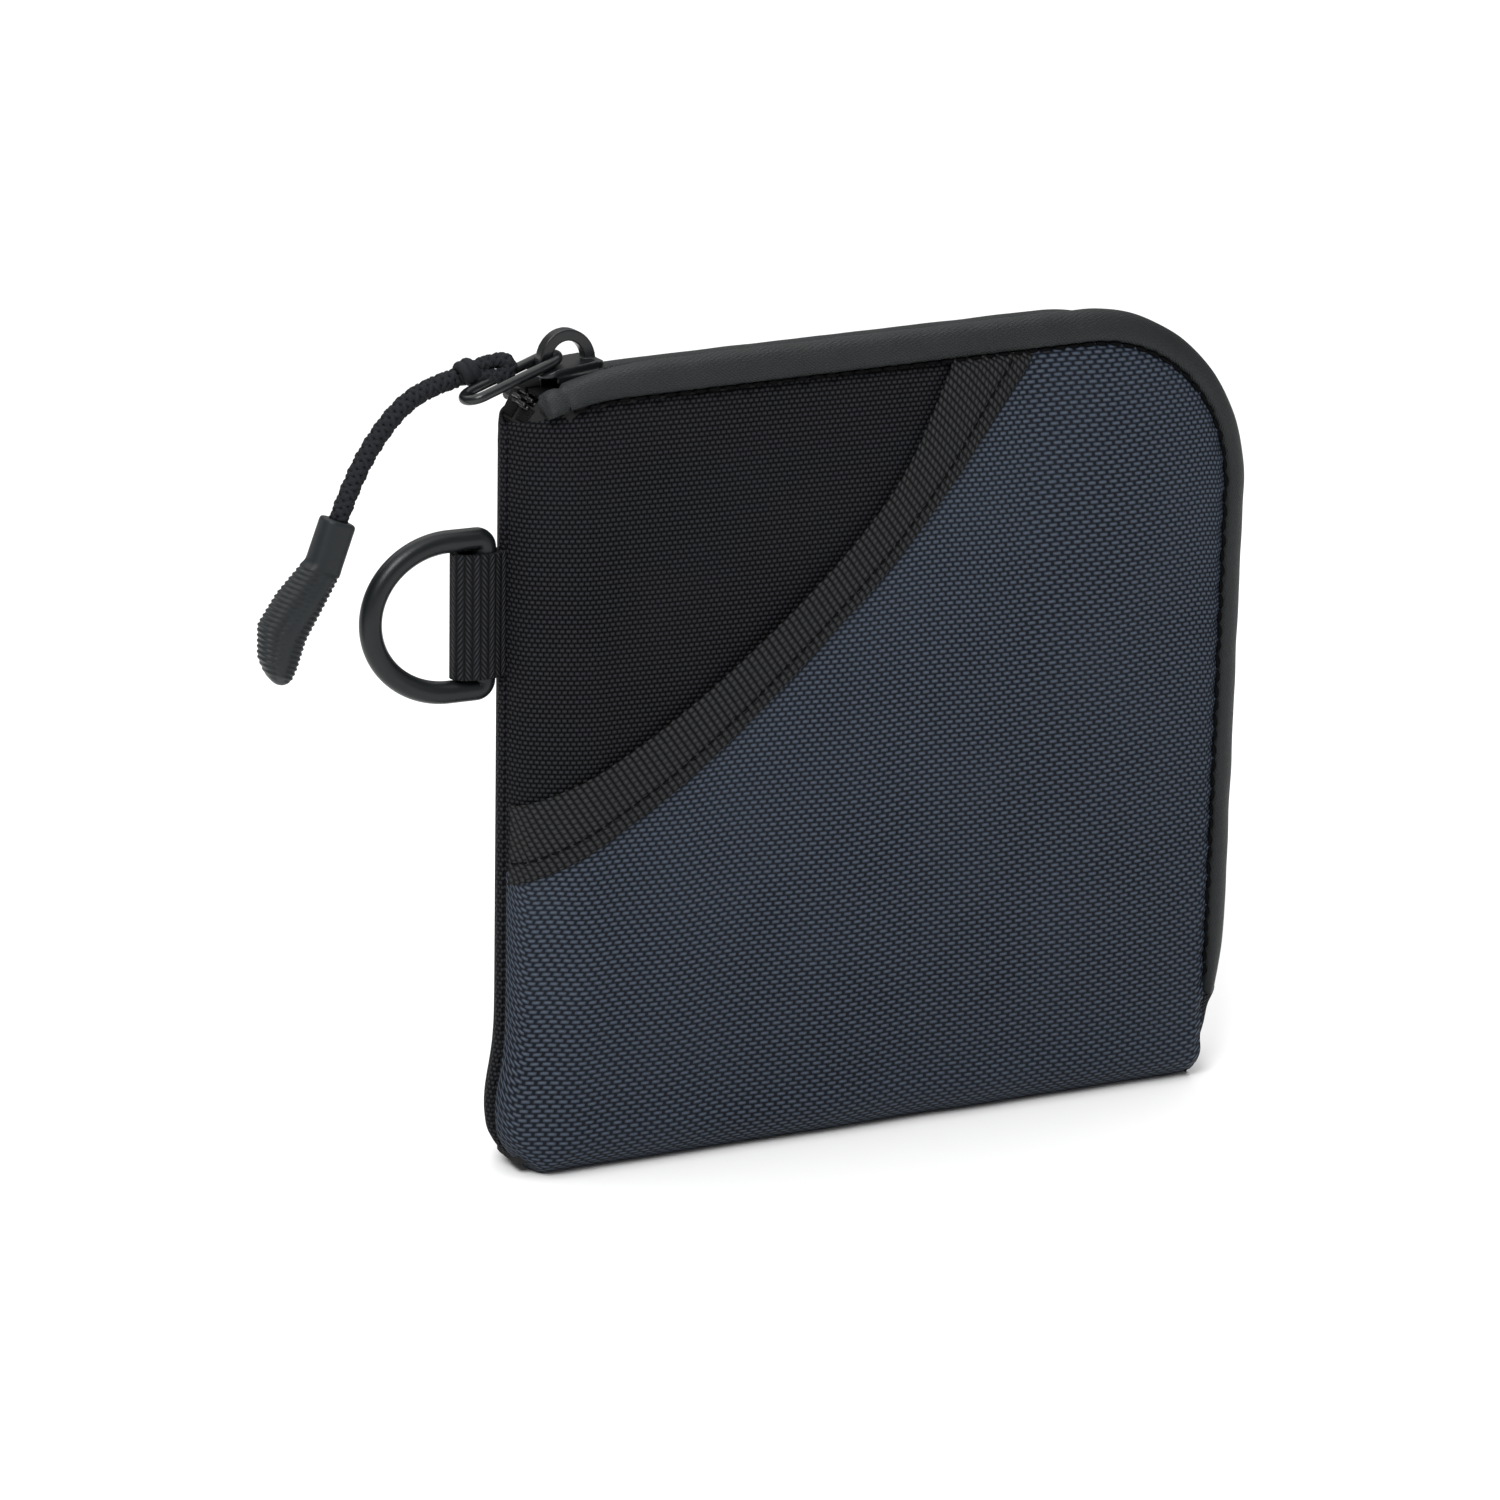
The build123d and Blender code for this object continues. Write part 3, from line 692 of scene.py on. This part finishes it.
def face_grid(columns, foot, head, rows, side, inset, seed):
    """Points on one face of the pouch, between a lower and an upper height for each column."""
    grid = np.zeros((len(columns), rows, 3))
    for j, t in enumerate(np.linspace(0, 1, rows)):
        z = foot + (head - foot) * t
        grid[:, j, 0] = columns + lean_side(columns, z)
        grid[:, j, 1] = side * (half_depth(columns, z, seed) - inset)
        grid[:, j, 2] = settle(columns, z)
    return grid


columns = column_places(left_x + panel_in)
panel_grid = face_grid(columns, 0 * columns + panel_foot, top_of(columns), face_rows, -1,
                       panel_under, front_seed)
front = cloth_piece("front_cloth", panel_grid, black_cloth, "pouch", panel_thick, outward=-1)
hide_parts("front_panel")

# --------------------------------------
# Slant pocket: heavy navy cloth of coarse two-tone yarn, laid over the front panel, carried
# round the bottom fold and sewn to the back.
pocket_thick = 0.85
navy_spacing = (1.02, 0.79, 0.76)
mouth_over = 3.0
shoulder_under = 2.2
fold_rows, under_steps = 14, 11
mouth_steps, fine_steps = 260, 1500


def mouth_line(left_height, top_place, bow):
    """Points (x, z) that one edge of the pocket's mouth passes through."""
    start = np.array((left_x - 1.0, left_height))
    top_x = left_x + top_place
    end = np.array((top_x, seam_height + mouth_over + top_slope * (top_x - corner_x)))
    way = end - start
    across = np.array((way[1], -way[0])) / np.linalg.norm(way)
    points = [start] + [start + way * part + across * deep for part, deep in bow] + [end]
    return np.array(points)


def smooth_through(points, count):
    """Even points on a smooth curve through the given ones."""
    padded = np.vstack([2 * points[0] - points[1], points, 2 * points[-1] - points[-2]])
    found = []
    for a, b, c, d in zip(padded, padded[1:], padded[2:], padded[3:]):
        for t in np.linspace(0, 1, 40, endpoint=False):
            found.append(0.5 * (2 * b + (c - a) * t + (2 * a - 5 * b + 4 * c - d) * t ** 2
                                + (3 * b - a - 3 * c + d) * t ** 3))
    return evenly(np.array(found + [points[-1]]), count)


def inside_outline(line):
    """The stretch of a mouth line from the left side to the top seam, before the top's slope."""
    x, z = line[:, 0], line[:, 1]
    z = z + top_slope * (corner_x - x) * np.clip(z / seam_height, 0, 1)
    keep = (x >= left_x + panel_in) & (z <= seam_height + panel_in)
    return evenly(np.stack([x[keep], z[keep]], axis=1), mouth_steps)


upper_points = mouth_line(61.0, 75.8, [(0.23, 6.0), (0.54, 8.8), (0.78, 7.8)])
lower_points = mouth_line(47.8, 91.5, [(0.25, 6.2), (0.56, 7.3), (0.77, 5.4)])
mouth_upper, mouth_lower = (inside_outline(smooth_through(points, fine_steps))
                            for points in (upper_points, lower_points))
navy_cloth = woven("navy_two_tone_weave", (0.0010, 0.0016, 0.0034), (0.0045, 0.0070, 0.0130),
                   (0.060, 0.077, 0.106), navy_spacing, 0.00020, 0.62, 0.12)
mouth_height = np.interp(columns, mouth_lower[:, 0], mouth_lower[:, 1]) + shoulder_under
under_mouth = columns < mouth_lower[-1, 0]
pocket_head = np.where(under_mouth, np.minimum(mouth_height, top_of(columns)), top_of(columns))
front_rows = face_grid(columns, 0 * columns, pocket_head, face_rows, -1, 0.0, front_seed)
fold_top = 0 * columns + base_bend - 0.4
back_fold = face_grid(columns, 0 * columns, fold_top, fold_rows, 1, 0.0, back_seed)[:, ::-1]
under_rows = np.zeros((len(columns), under_steps - 2, 3))
for j, t in enumerate(np.linspace(0, 1, under_steps)[1:-1]):
    under_rows[:, j] = back_fold[:, -1] * (1 - t) + front_rows[:, 0] * t
pocket = cloth_piece("navy_pocket", np.concatenate([back_fold, under_rows, front_rows], axis=1),
                     navy_cloth, "pouch", pocket_thick, outward=-1)
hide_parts("slant_pocket")

# --------------------------------------
# Pocket binding: ribbed grosgrain tape folded over the pocket's raw edge and held by one row
# of stitches near the navy side. The mouth stands a little open in its middle.
binding_proud = 0.75
binding_steps = 26
mouth_gape = 0.9
rib_width = 1.15
stitch_pitch, stitch_length, stitch_radius = 1.9, 1.45, 0.17
first_stitch, stitch_steps = 0.6, 7
stitch_place = 0.74
furrow_depth, furrow_width = 0.22, 0.045
binding_thick = 0.7

# Ribs: parallel ridges, broken a little by the yarn that crosses them
ribs, ribs_in, ribs_out = new_group("ribs", ["Pitch", "Cross Pitch", "Slant"], ["Height"])
split = ribs.nodes.new("ShaderNodeSeparateXYZ")
ribs.links.new(ribs_in.outputs["Place"], split.inputs[0])
slanted = calc(ribs, "MULTIPLY_ADD", split.outputs["Y"], ribs_in.outputs["Slant"], split.outputs["X"])
turns = calc(ribs, "DIVIDE", slanted, ribs_in.outputs["Pitch"])
ridge = calc(ribs, "ABSOLUTE", calc(ribs, "SINE", calc(ribs, "MULTIPLY", turns, math.pi)))
lines = calc(ribs, "DIVIDE", split.outputs["Y"], ribs_in.outputs["Cross Pitch"])
lines = calc(ribs, "ADD", lines, calc(ribs, "MULTIPLY", calc(ribs, "FLOOR", turns), 0.5))
cross = calc(ribs, "ABSOLUTE", calc(ribs, "SINE", calc(ribs, "MULTIPLY", lines, math.pi)))
broken = calc(ribs, "MULTIPLY_ADD", calc(ribs, "POWER", cross, 0.6), 0.85, 0.15)
ribs.links.new(calc(ribs, "MULTIPLY", ridge, broken), ribs_out.inputs["Height"])


def ribbed(name, dark, light, pitch, cross_pitch, slant, relief, roughness):
    """A ribbed tape: colour of its furrows and ridges, and its spacing in mm."""
    made, tree, shader = finish_material(name, light, roughness, 0.08)
    ridges = place_on_cloth(tree, ribs, Pitch=pitch, Cross_Pitch=cross_pitch, Slant=slant)
    uneven = add_clouds(tree, 90.0, 2400.0)
    height = ridges.outputs["Height"]
    shade = calc(tree, "MULTIPLY", height, calc(tree, "ADD", uneven.outputs["Fine Value"], 0.5))
    tree.links.new(blend_colours(tree, shade, dark, light), shader.inputs["Base Color"])
    add_bump(tree, shader, height, relief)
    return made


def stitch_row(name, path, lift, pitch, length, radius):
    """A row of black stitches along a path; lift is outwards, and their ends dive into the cloth."""
    span = lengths_along(path)
    rise = np.sin(np.linspace(0.12, np.pi - 0.12, stitch_steps))[:, None]
    shapes = []
    for start in np.arange(first_stitch, span[-1] - length, pitch):
        at = np.linspace(start, start + length, stitch_steps)
        line = np.stack([np.interp(at, span, path[:, k]) for k in range(3)], axis=1)
        shapes.append(tube_points(line + np.array(lift) * (rise * 1.1 - 0.55) * radius * 2,
                                  radius * (0.7 + 0.3 * rise[:, 0]), 7))
    row = make_piece(name, *join_shapes(shapes), thread_black, "pouch")


binding_black = ribbed("ribbed_binding", (0.0003, 0.0003, 0.0004), (0.034, 0.035, 0.037),
                       rib_width, 0.95, 0.18, 0.00040, 0.70)
thread_black = finish_material("black_thread", (0.0022, 0.0022, 0.0026), 0.7, 0.04)[0]
grid = np.zeros((mouth_steps, binding_steps, 3))
along_mouth = np.linspace(0, 1, mouth_steps)
for j, w in enumerate(np.linspace(0, 1, binding_steps)):
    line = mouth_upper * (1 - w) + mouth_lower * w
    edge = 1 - abs(2 * w - 1) ** 6
    furrow = furrow_depth * np.exp(-((w - stitch_place) / furrow_width) ** 2)
    gape = mouth_gape * np.sin(np.pi * along_mouth) ** 2 * (1 - w) ** 2
    rise = 0.15 + binding_proud * math.sqrt(max(edge, 0)) - furrow + gape
    rise = rise * np.clip((1 - along_mouth) / 0.012, 0.3, 1)
    rise += 0.10 * lumps(line[:, 0], line[:, 1], 7.0, 21)
    grid[:, j, 0] = line[:, 0]
    grid[:, j, 1] = -(half_depth(line[:, 0], line[:, 1], front_seed) + rise)
    grid[:, j, 2] = settle(line[:, 0], line[:, 1])
binding = cloth_piece("mouth_binding", grid, binding_black, "pouch", binding_thick, outward=-1)
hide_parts("pocket_binding")
stitch_column = round(stitch_place * (binding_steps - 1))
stitch_row("binding_stitches", grid[:, stitch_column], (0, -1.0, 0), stitch_pitch, stitch_length,
           stitch_radius)

# --------------------------------------
# Back panel: the same black cloth over foam, brought round the left side as a narrow wall
# that the front pieces are sewn to.
wall_steps = 12
wall_bulge = 0.45
back_foot = base_bend - 0.9
foot_low, foot_high, foot_rows = 2.8, base_bend + 1.0, 14
foot_thick = 0.5

back_columns = column_places(left_x)
back_face = face_grid(back_columns, 0 * back_columns + back_foot, top_of(back_columns), face_rows, 1, 0.0,
                      back_seed)
wall = np.zeros((wall_steps, face_rows, 3))
for i, t in enumerate(np.linspace(0, 1, wall_steps)):
    wall[i] = back_face[0]
    wall[i, :, 1] = back_face[0, :, 1] * (2 * t - 1)
    wall[i, :, 0] -= wall_bulge * math.sin(math.pi * t)
back_cloth = cloth_piece("back_cloth", np.concatenate([wall[:-1], back_face]), black_cloth, "pouch",
                         panel_thick, outward=1)
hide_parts("back_panel")
low_wall = np.zeros((wall_steps, foot_rows, 3))
side_place = np.array([left_x])
bulge = wall_bulge * np.sin(np.linspace(0, np.pi, wall_steps))
for j, height in enumerate(np.linspace(foot_low, foot_high, foot_rows)):
    reach = float(half_depth(side_place, np.array([height]), front_seed)[0])
    low_wall[:, j, 0] = left_x + lean_side(side_place, height) + 0.1 - bulge
    low_wall[:, j, 1] = np.linspace(-reach, reach, wall_steps)
    low_wall[:, j, 2] = height
low_side = cloth_piece("side_foot", low_wall, black_cloth, "pouch", foot_thick, outward=1)

# --------------------------------------
# Zip strips: smooth coated cloth over a thin pad, one on each side of the zip. Each is sewn
# into the seam, and its left end is turned in and stitched down as a small hem.
strip_left = left_x + 4.0
strip_end = 15.0
strip_sections = {
    -1: [(8.3, 0.1), (9.15, 0.5), (9.5, 1.5), (9.25, 2.9), (8.5, 4.3), (7.4, 5.1), (6.2, 5.2),
         (5.2, 4.6), (4.7, 3.2), (4.75, 1.5), (6.5, 1.45), (7.9, 0.1)],
    1: [(8.3, 0.1), (9.15, 0.4), (9.4, 1.1), (9.1, 1.7), (8.3, 2.1), (7.3, 2.35), (6.2, 2.4),
        (5.2, 2.3), (4.7, 1.9), (4.75, 1.4), (6.5, 1.35), (7.9, 0.1)]}
section_steps = 46
hem_length, hem_width, hem_depth = 3.4, 0.35, 0.75
slack_depth, slack_size = 0.2, 7.0
sink_run, sink_share = 24.0, 0.30
foot_run, foot_share = 14.0, 0.35
side_share = 0.20
pinch_pitch, pinch_depth = 2.6, 0.26
# Seam stitches: thick black thread sewn close together just inside each seam. Besides being real stitching,
# the rows are painted shade: they draw the seam groove's shade as a dark line.
seam_pitch, seam_stitch, seam_radius, seam_in = 2.6, 2.3, 0.33, 0.12
hem_pitch, hem_stitch, hem_radius = 1.35, 0.95, 0.13


def seam_route(start_x, end_z, spacing=0.7):
    """Points (x, z) and outward directions along the top, round the corner and down."""
    flat = np.arange(start_x, corner_x, spacing)
    turn = np.linspace(0, np.pi / 2, int(corner_radius * np.pi / 2 / spacing))
    fall = np.arange(seam_height - corner_radius, end_z, -spacing)[1:]
    x = np.concatenate([flat, corner_x + corner_radius * np.sin(turn), 0 * fall + right_x])
    z = np.concatenate([0 * flat + seam_height,
                        seam_height - corner_radius + corner_radius * np.cos(turn), fall])
    line = np.stack([x, settle(x, z)], axis=1)
    way = np.gradient(line, axis=0)
    way /= np.linalg.norm(way, axis=1)[:, None]
    return line, np.stack([-way[:, 1], way[:, 0]], axis=1)


coated_colours = [(0.014, 0.017, 0.018), (0.006, 0.0073, 0.0078), (0.0135, 0.016, 0.017)]
coated, tree, shader, clouds = uneven_finish("coated_cloth", (120.0, 2200.0), coated_colours, 0.46, 0.26,
                                             gloss=("Fine Value", 0.2, 0.36))
twill = place_on_cloth(tree, ribs, Pitch=0.7, Cross_Pitch=0.6, Slant=0.9)
surface = calc(tree, "MULTIPLY_ADD", twill.outputs["Height"], 0.8, clouds.outputs["Fine Value"])
add_bump(tree, shader, surface, 0.00011)

route, outwards = seam_route(strip_left, strip_end)
distance = lengths_along(route)
down_side = np.clip((route[:, 0] - corner_x) / corner_radius, 0, 1)
start_sink = np.clip(1 - distance / sink_run, 0, 1) ** 1.6
end_sink = np.clip((distance - distance[-1] + foot_run) / foot_run, 0, 1) ** 2
squeeze = 1 - side_share * down_side - sink_share * start_sink - foot_share * end_sink
hem_turn = np.linspace(0, np.pi / 2, 14)
for side, name in ((-1, "front"), (1, "back")):
    section = smooth_through(np.array(strip_sections[side] + strip_sections[side][:1]), section_steps)[:-1]
    sections = []
    for k, (point, out) in enumerate(zip(route, outwards)):
        y, n = section[:, 0], section[:, 1]
        slack = slack_depth * noise.noise(Vector((distance[k] / slack_size, side, 5)))
        n = n * squeeze[k] + slack * np.clip(n / 4.6, 0, 1)
        tuck = hem_depth * math.exp(-((distance[k] - hem_length) / hem_width) ** 2)
        shrink = 1 - 0.3 * math.exp(-(distance[k] / 0.45) ** 2)
        y = 7.0 + (y - 7.0) * (1 - tuck * 0.5) * shrink
        n = n * (1 - tuck * 0.30) * shrink
        pinch = pinch_depth * abs(math.sin(math.pi * distance[k] / pinch_pitch + slack))
        y = y - pinch * np.exp(-np.abs(n + 0.2) / 0.9)
        sections.append(np.stack([point[0] + out[0] * n, side * y, point[1] + out[1] * n], axis=1))
    around = np.arange(len(section)) * 0.55
    yarn = np.stack([np.repeat(distance, len(section)), np.tile(around, len(route))], axis=1)
    faces = tube_faces(len(route), len(section))
    faces[-2:] = [cap[::-1] for cap in faces[-2:]]
    strip = make_piece(f"{name}_padded_strip", np.concatenate(sections), faces, coated, "pouch", yarn)
    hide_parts(f"{name}_zip_strip")
    hem = np.array([(strip_left + hem_length - 0.1, side * y, route[4, 1] + n)
                    for y, n in zip(np.linspace(9.2, 6.4, 14), 0.2 + 3.4 * np.sin(hem_turn))])
    stitch_row(f"{name}_hem_stitches", hem, (0, side * 0.8, 0.6), hem_pitch, hem_stitch, hem_radius)

# Seam stitches on both faces, close and thick in near-black thread: real stitching that also stands in for
# the shade in the groove along the seam, as a painted dark line.
sewn = route[5:-4] - outwards[5:-4] * seam_in
x, z = sewn[:, 0], sewn[:, 1]
for side, name, seed in ((-1, "front", front_seed), (1, "back", back_seed)):
    depth = half_depth(x, z - top_slope * (x - corner_x) * z / seam_height, seed)
    seam = np.stack([x, side * (depth + 0.05), z], axis=1)
    stitch_row(f"{name}_seam_stitches_shade_line", seam, (0, side * 1.0, 0), seam_pitch, seam_stitch, seam_radius)

# --------------------------------------
# Zip: two woven tapes with a moulded coil sewn on each. The loops of the two coils hook into
# each other behind the slider. The tapes' left ends turn down into the pouch.
tooth_pitch = 1.27
tooth_wire = 0.36
tooth_reach = (0.45, 3.1)
tooth_low, tooth_high, tooth_round = 1.30, 2.10, 0.40
tail_thick = 0.45

zip_weave = ribbed("zip_tape_weave", (0.001, 0.001, 0.0012), (0.007, 0.007, 0.008), 0.45, 0.7, 0.0,
                   0.00009, 0.75)
for name in ("front_zip_tape", "back_zip_tape"):
    paint_node(name, zip_weave)
coil_nylon = uneven_finish("coil_nylon", (300.0, 5000.0), [(0.006, 0.006, 0.007)], 0.28, 0.4,
                           gloss=("Broad Value", 0.2, 0.2))[0]
teeth_route, teeth_out = seam_route(strip_left - 0.6, strip_end + 0.5, tooth_pitch)
inner, outer = tooth_reach
turn = np.linspace(-np.pi / 2, np.pi / 2, 6)
for side, name in ((-1, "front"), (1, "back")):
    shapes = []
    for k, (point, out) in enumerate(zip(teeth_route[:-1], teeth_out)):
        forward = (teeth_route[k + 1] - point) * (0.25 if side > 0 else -0.25)
        y = np.concatenate([[outer], inner + 0.5 - 0.5 * np.cos(turn), [outer]])
        n = (tooth_low + tooth_high) / 2 + tooth_round * np.sin(turn)
        n = np.concatenate([[tooth_low], n, [tooth_high]])
        lean = np.linspace(-1, 1, len(y)) * 0.5
        line = np.stack([point[0] + out[0] * n + forward[0] * (1 + lean), side * y,
                         point[1] + out[1] * n + forward[1] * (1 + lean)], axis=1)
        shapes.append(tube_points(line, tooth_wire, 6))
    coil = make_piece(f"{name}_coil_loops", *join_shapes(shapes), coil_nylon, "pouch")
    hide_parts(f"{name}_zip_coil")
    tail_x = np.array([0.4, -1.0, -2.1, -2.6]) + strip_left
    tail_z = np.array([1.1, 0.9, -0.6, -3.0]) + settle(strip_left, seam_height)
    tail = np.array([[(x, side * y, z) for y in np.linspace(0.6, 5.4 - 0.5 * i, 8)]
                     for i, (x, z) in enumerate(zip(tail_x, tail_z))])
    turned = cloth_piece(f"{name}_tape_tail", tail, zip_weave, "pouch", tail_thick, outward=side)

# --------------------------------------
# End tab: a folded scrap of the black cloth, sewn over the lower end of the zip. It closes
# the side from there down to the fold.
tab_profile = [(4.7, 16.2), (4.9, 14.6), (3.7, 12.2), (2.4, 8.5), (1.0, 4.8), (-0.5, 2.2), (-2.6, 0.8)]
tab_root, tab_in, tab_lowest, tab_squareness = 0.7, 0.15, 0.5, 4
tab_rows = smooth_through(np.array(tab_profile), 40)
across_tab = np.linspace(-1, 1, 28)
bow = 1 - np.abs(across_tab) ** tab_squareness
grid = np.zeros((len(across_tab), len(tab_rows), 3))
for j, (out, z) in enumerate(tab_rows):
    place = np.array([right_x - 0.8]), np.array([max(z, tab_lowest)])
    reach = float(half_depth(*place, front_seed)[0]) - tab_in
    grid[:, j, 0] = right_x - tab_root + (out + tab_root) * bow
    grid[:, j, 1] = across_tab * reach
    grid[:, j, 2] = z
tab = cloth_piece("end_tab", grid, black_cloth, "pouch", 0.6, outward=1)
if sum(polygon.normal.x for polygon in tab.data.polygons[:500]) < 0:
    tab.data.flip_normals()
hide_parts("zip_end_flap")

# --------------------------------------
# Webbing and D-ring: 20 mm polypropylene webbing in a herringbone, folded round the ring's
# straight bar and sewn into the left side. The ring is bent steel bar in a matt black coat.
tab_low, tab_high = (np.array(corner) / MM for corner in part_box("ring_tab"))
webbing_thick = 1.05
herringbone_columns, webbing_wide = 7, 9.3
fold_line = [(left_x + 1.6, 0.55), (left_x - 0.8, 1.7), (left_x - 3.0, 2.55), (left_x - 6.4, 2.35),
             (left_x - 8.3, 1.25), (left_x - 8.75, 0.0)]

# Herringbone: slanting ribs that change direction at each column
bones, bones_in, bones_out = new_group("herringbone", ["Column", "Pitch"], ["Height"])
split = bones.nodes.new("ShaderNodeSeparateXYZ")
bones.links.new(bones_in.outputs["Place"], split.inputs[0])
wide = calc(bones, "DIVIDE", split.outputs["X"], bones_in.outputs["Column"])
zigzag = calc(bones, "PINGPONG", wide, 1.0)
rise = calc(bones, "DIVIDE", split.outputs["Y"], bones_in.outputs["Pitch"])
turns = calc(bones, "MULTIPLY_ADD", zigzag, 1.7, rise)
ridge = calc(bones, "ABSOLUTE", calc(bones, "SINE", calc(bones, "MULTIPLY", turns, math.pi)))
valley = calc(bones, "ABSOLUTE", calc(bones, "SINE", calc(bones, "MULTIPLY", wide, math.pi)))
bones.links.new(calc(bones, "MULTIPLY", ridge, calc(bones, "POWER", valley, 1.2)),
                bones_out.inputs["Height"])

webbing_black, tree, shader = finish_material("herringbone_webbing", (0.010, 0.011, 0.013), 0.6, 0.12)
herring = place_on_cloth(tree, bones, Column=webbing_wide / herringbone_columns, Pitch=0.95)
clouds = add_clouds(tree, 200.0, 3000.0)
shade = calc(tree, "MULTIPLY", herring.outputs["Height"],
             calc(tree, "ADD", clouds.outputs["Fine Value"], 0.5))
tree.links.new(blend_colours(tree, shade, (0.0008, 0.0008, 0.001), (0.030, 0.032, 0.037)),
               shader.inputs["Base Color"])
add_bump(tree, shader, herring.outputs["Height"], 0.0005)

half_loop = smooth_through(np.array(fold_line), 46)
whole_loop = np.vstack([half_loop * (1, -1), half_loop[-2::-1]])
heights = np.linspace(tab_low[2], tab_high[2], 56)
grid = np.zeros((len(whole_loop), len(heights), 3))
grid[:, :, 0] = whole_loop[:, :1]
grid[:, :, 1] = whole_loop[:, 1:]
grid[:, :, 2] = heights
webbing = cloth_piece("webbing_loop", grid, webbing_black, "pouch", webbing_thick, outward=1)
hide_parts("ring_tab")

ring_colours = [(0.010, 0.012, 0.013), (0.004, 0.005, 0.006), (0.008, 0.010, 0.011)]
ring_coat = uneven_finish("matt_ring_coat", (220.0, 4500.0), ring_colours, 0.33, 0.26,
                          gloss=("Fine Value", 0.16, 0.26), relief=0.00002)[0]
paint_node("d_ring", ring_coat)

# --------------------------------------
# Inside: thin dark lining over closed-cell foam. Neither shows while the zip is shut.
lining_grey = uneven_finish("lining_grey", (150.0, 4000.0), [(0.012, 0.012, 0.014)], 0.7, 0.1,
                            relief=0.00005)[0]
foam_grey = uneven_finish("foam_grey", (600.0, 5000.0), [(0.018, 0.018, 0.018)], 0.9, 0.1,
                          relief=0.0001)[0]
for half_name in ("front", "back"):
    paint_node(f"{half_name}_lining", lining_grey)
    paint_node(f"{half_name}_foam", foam_grey)
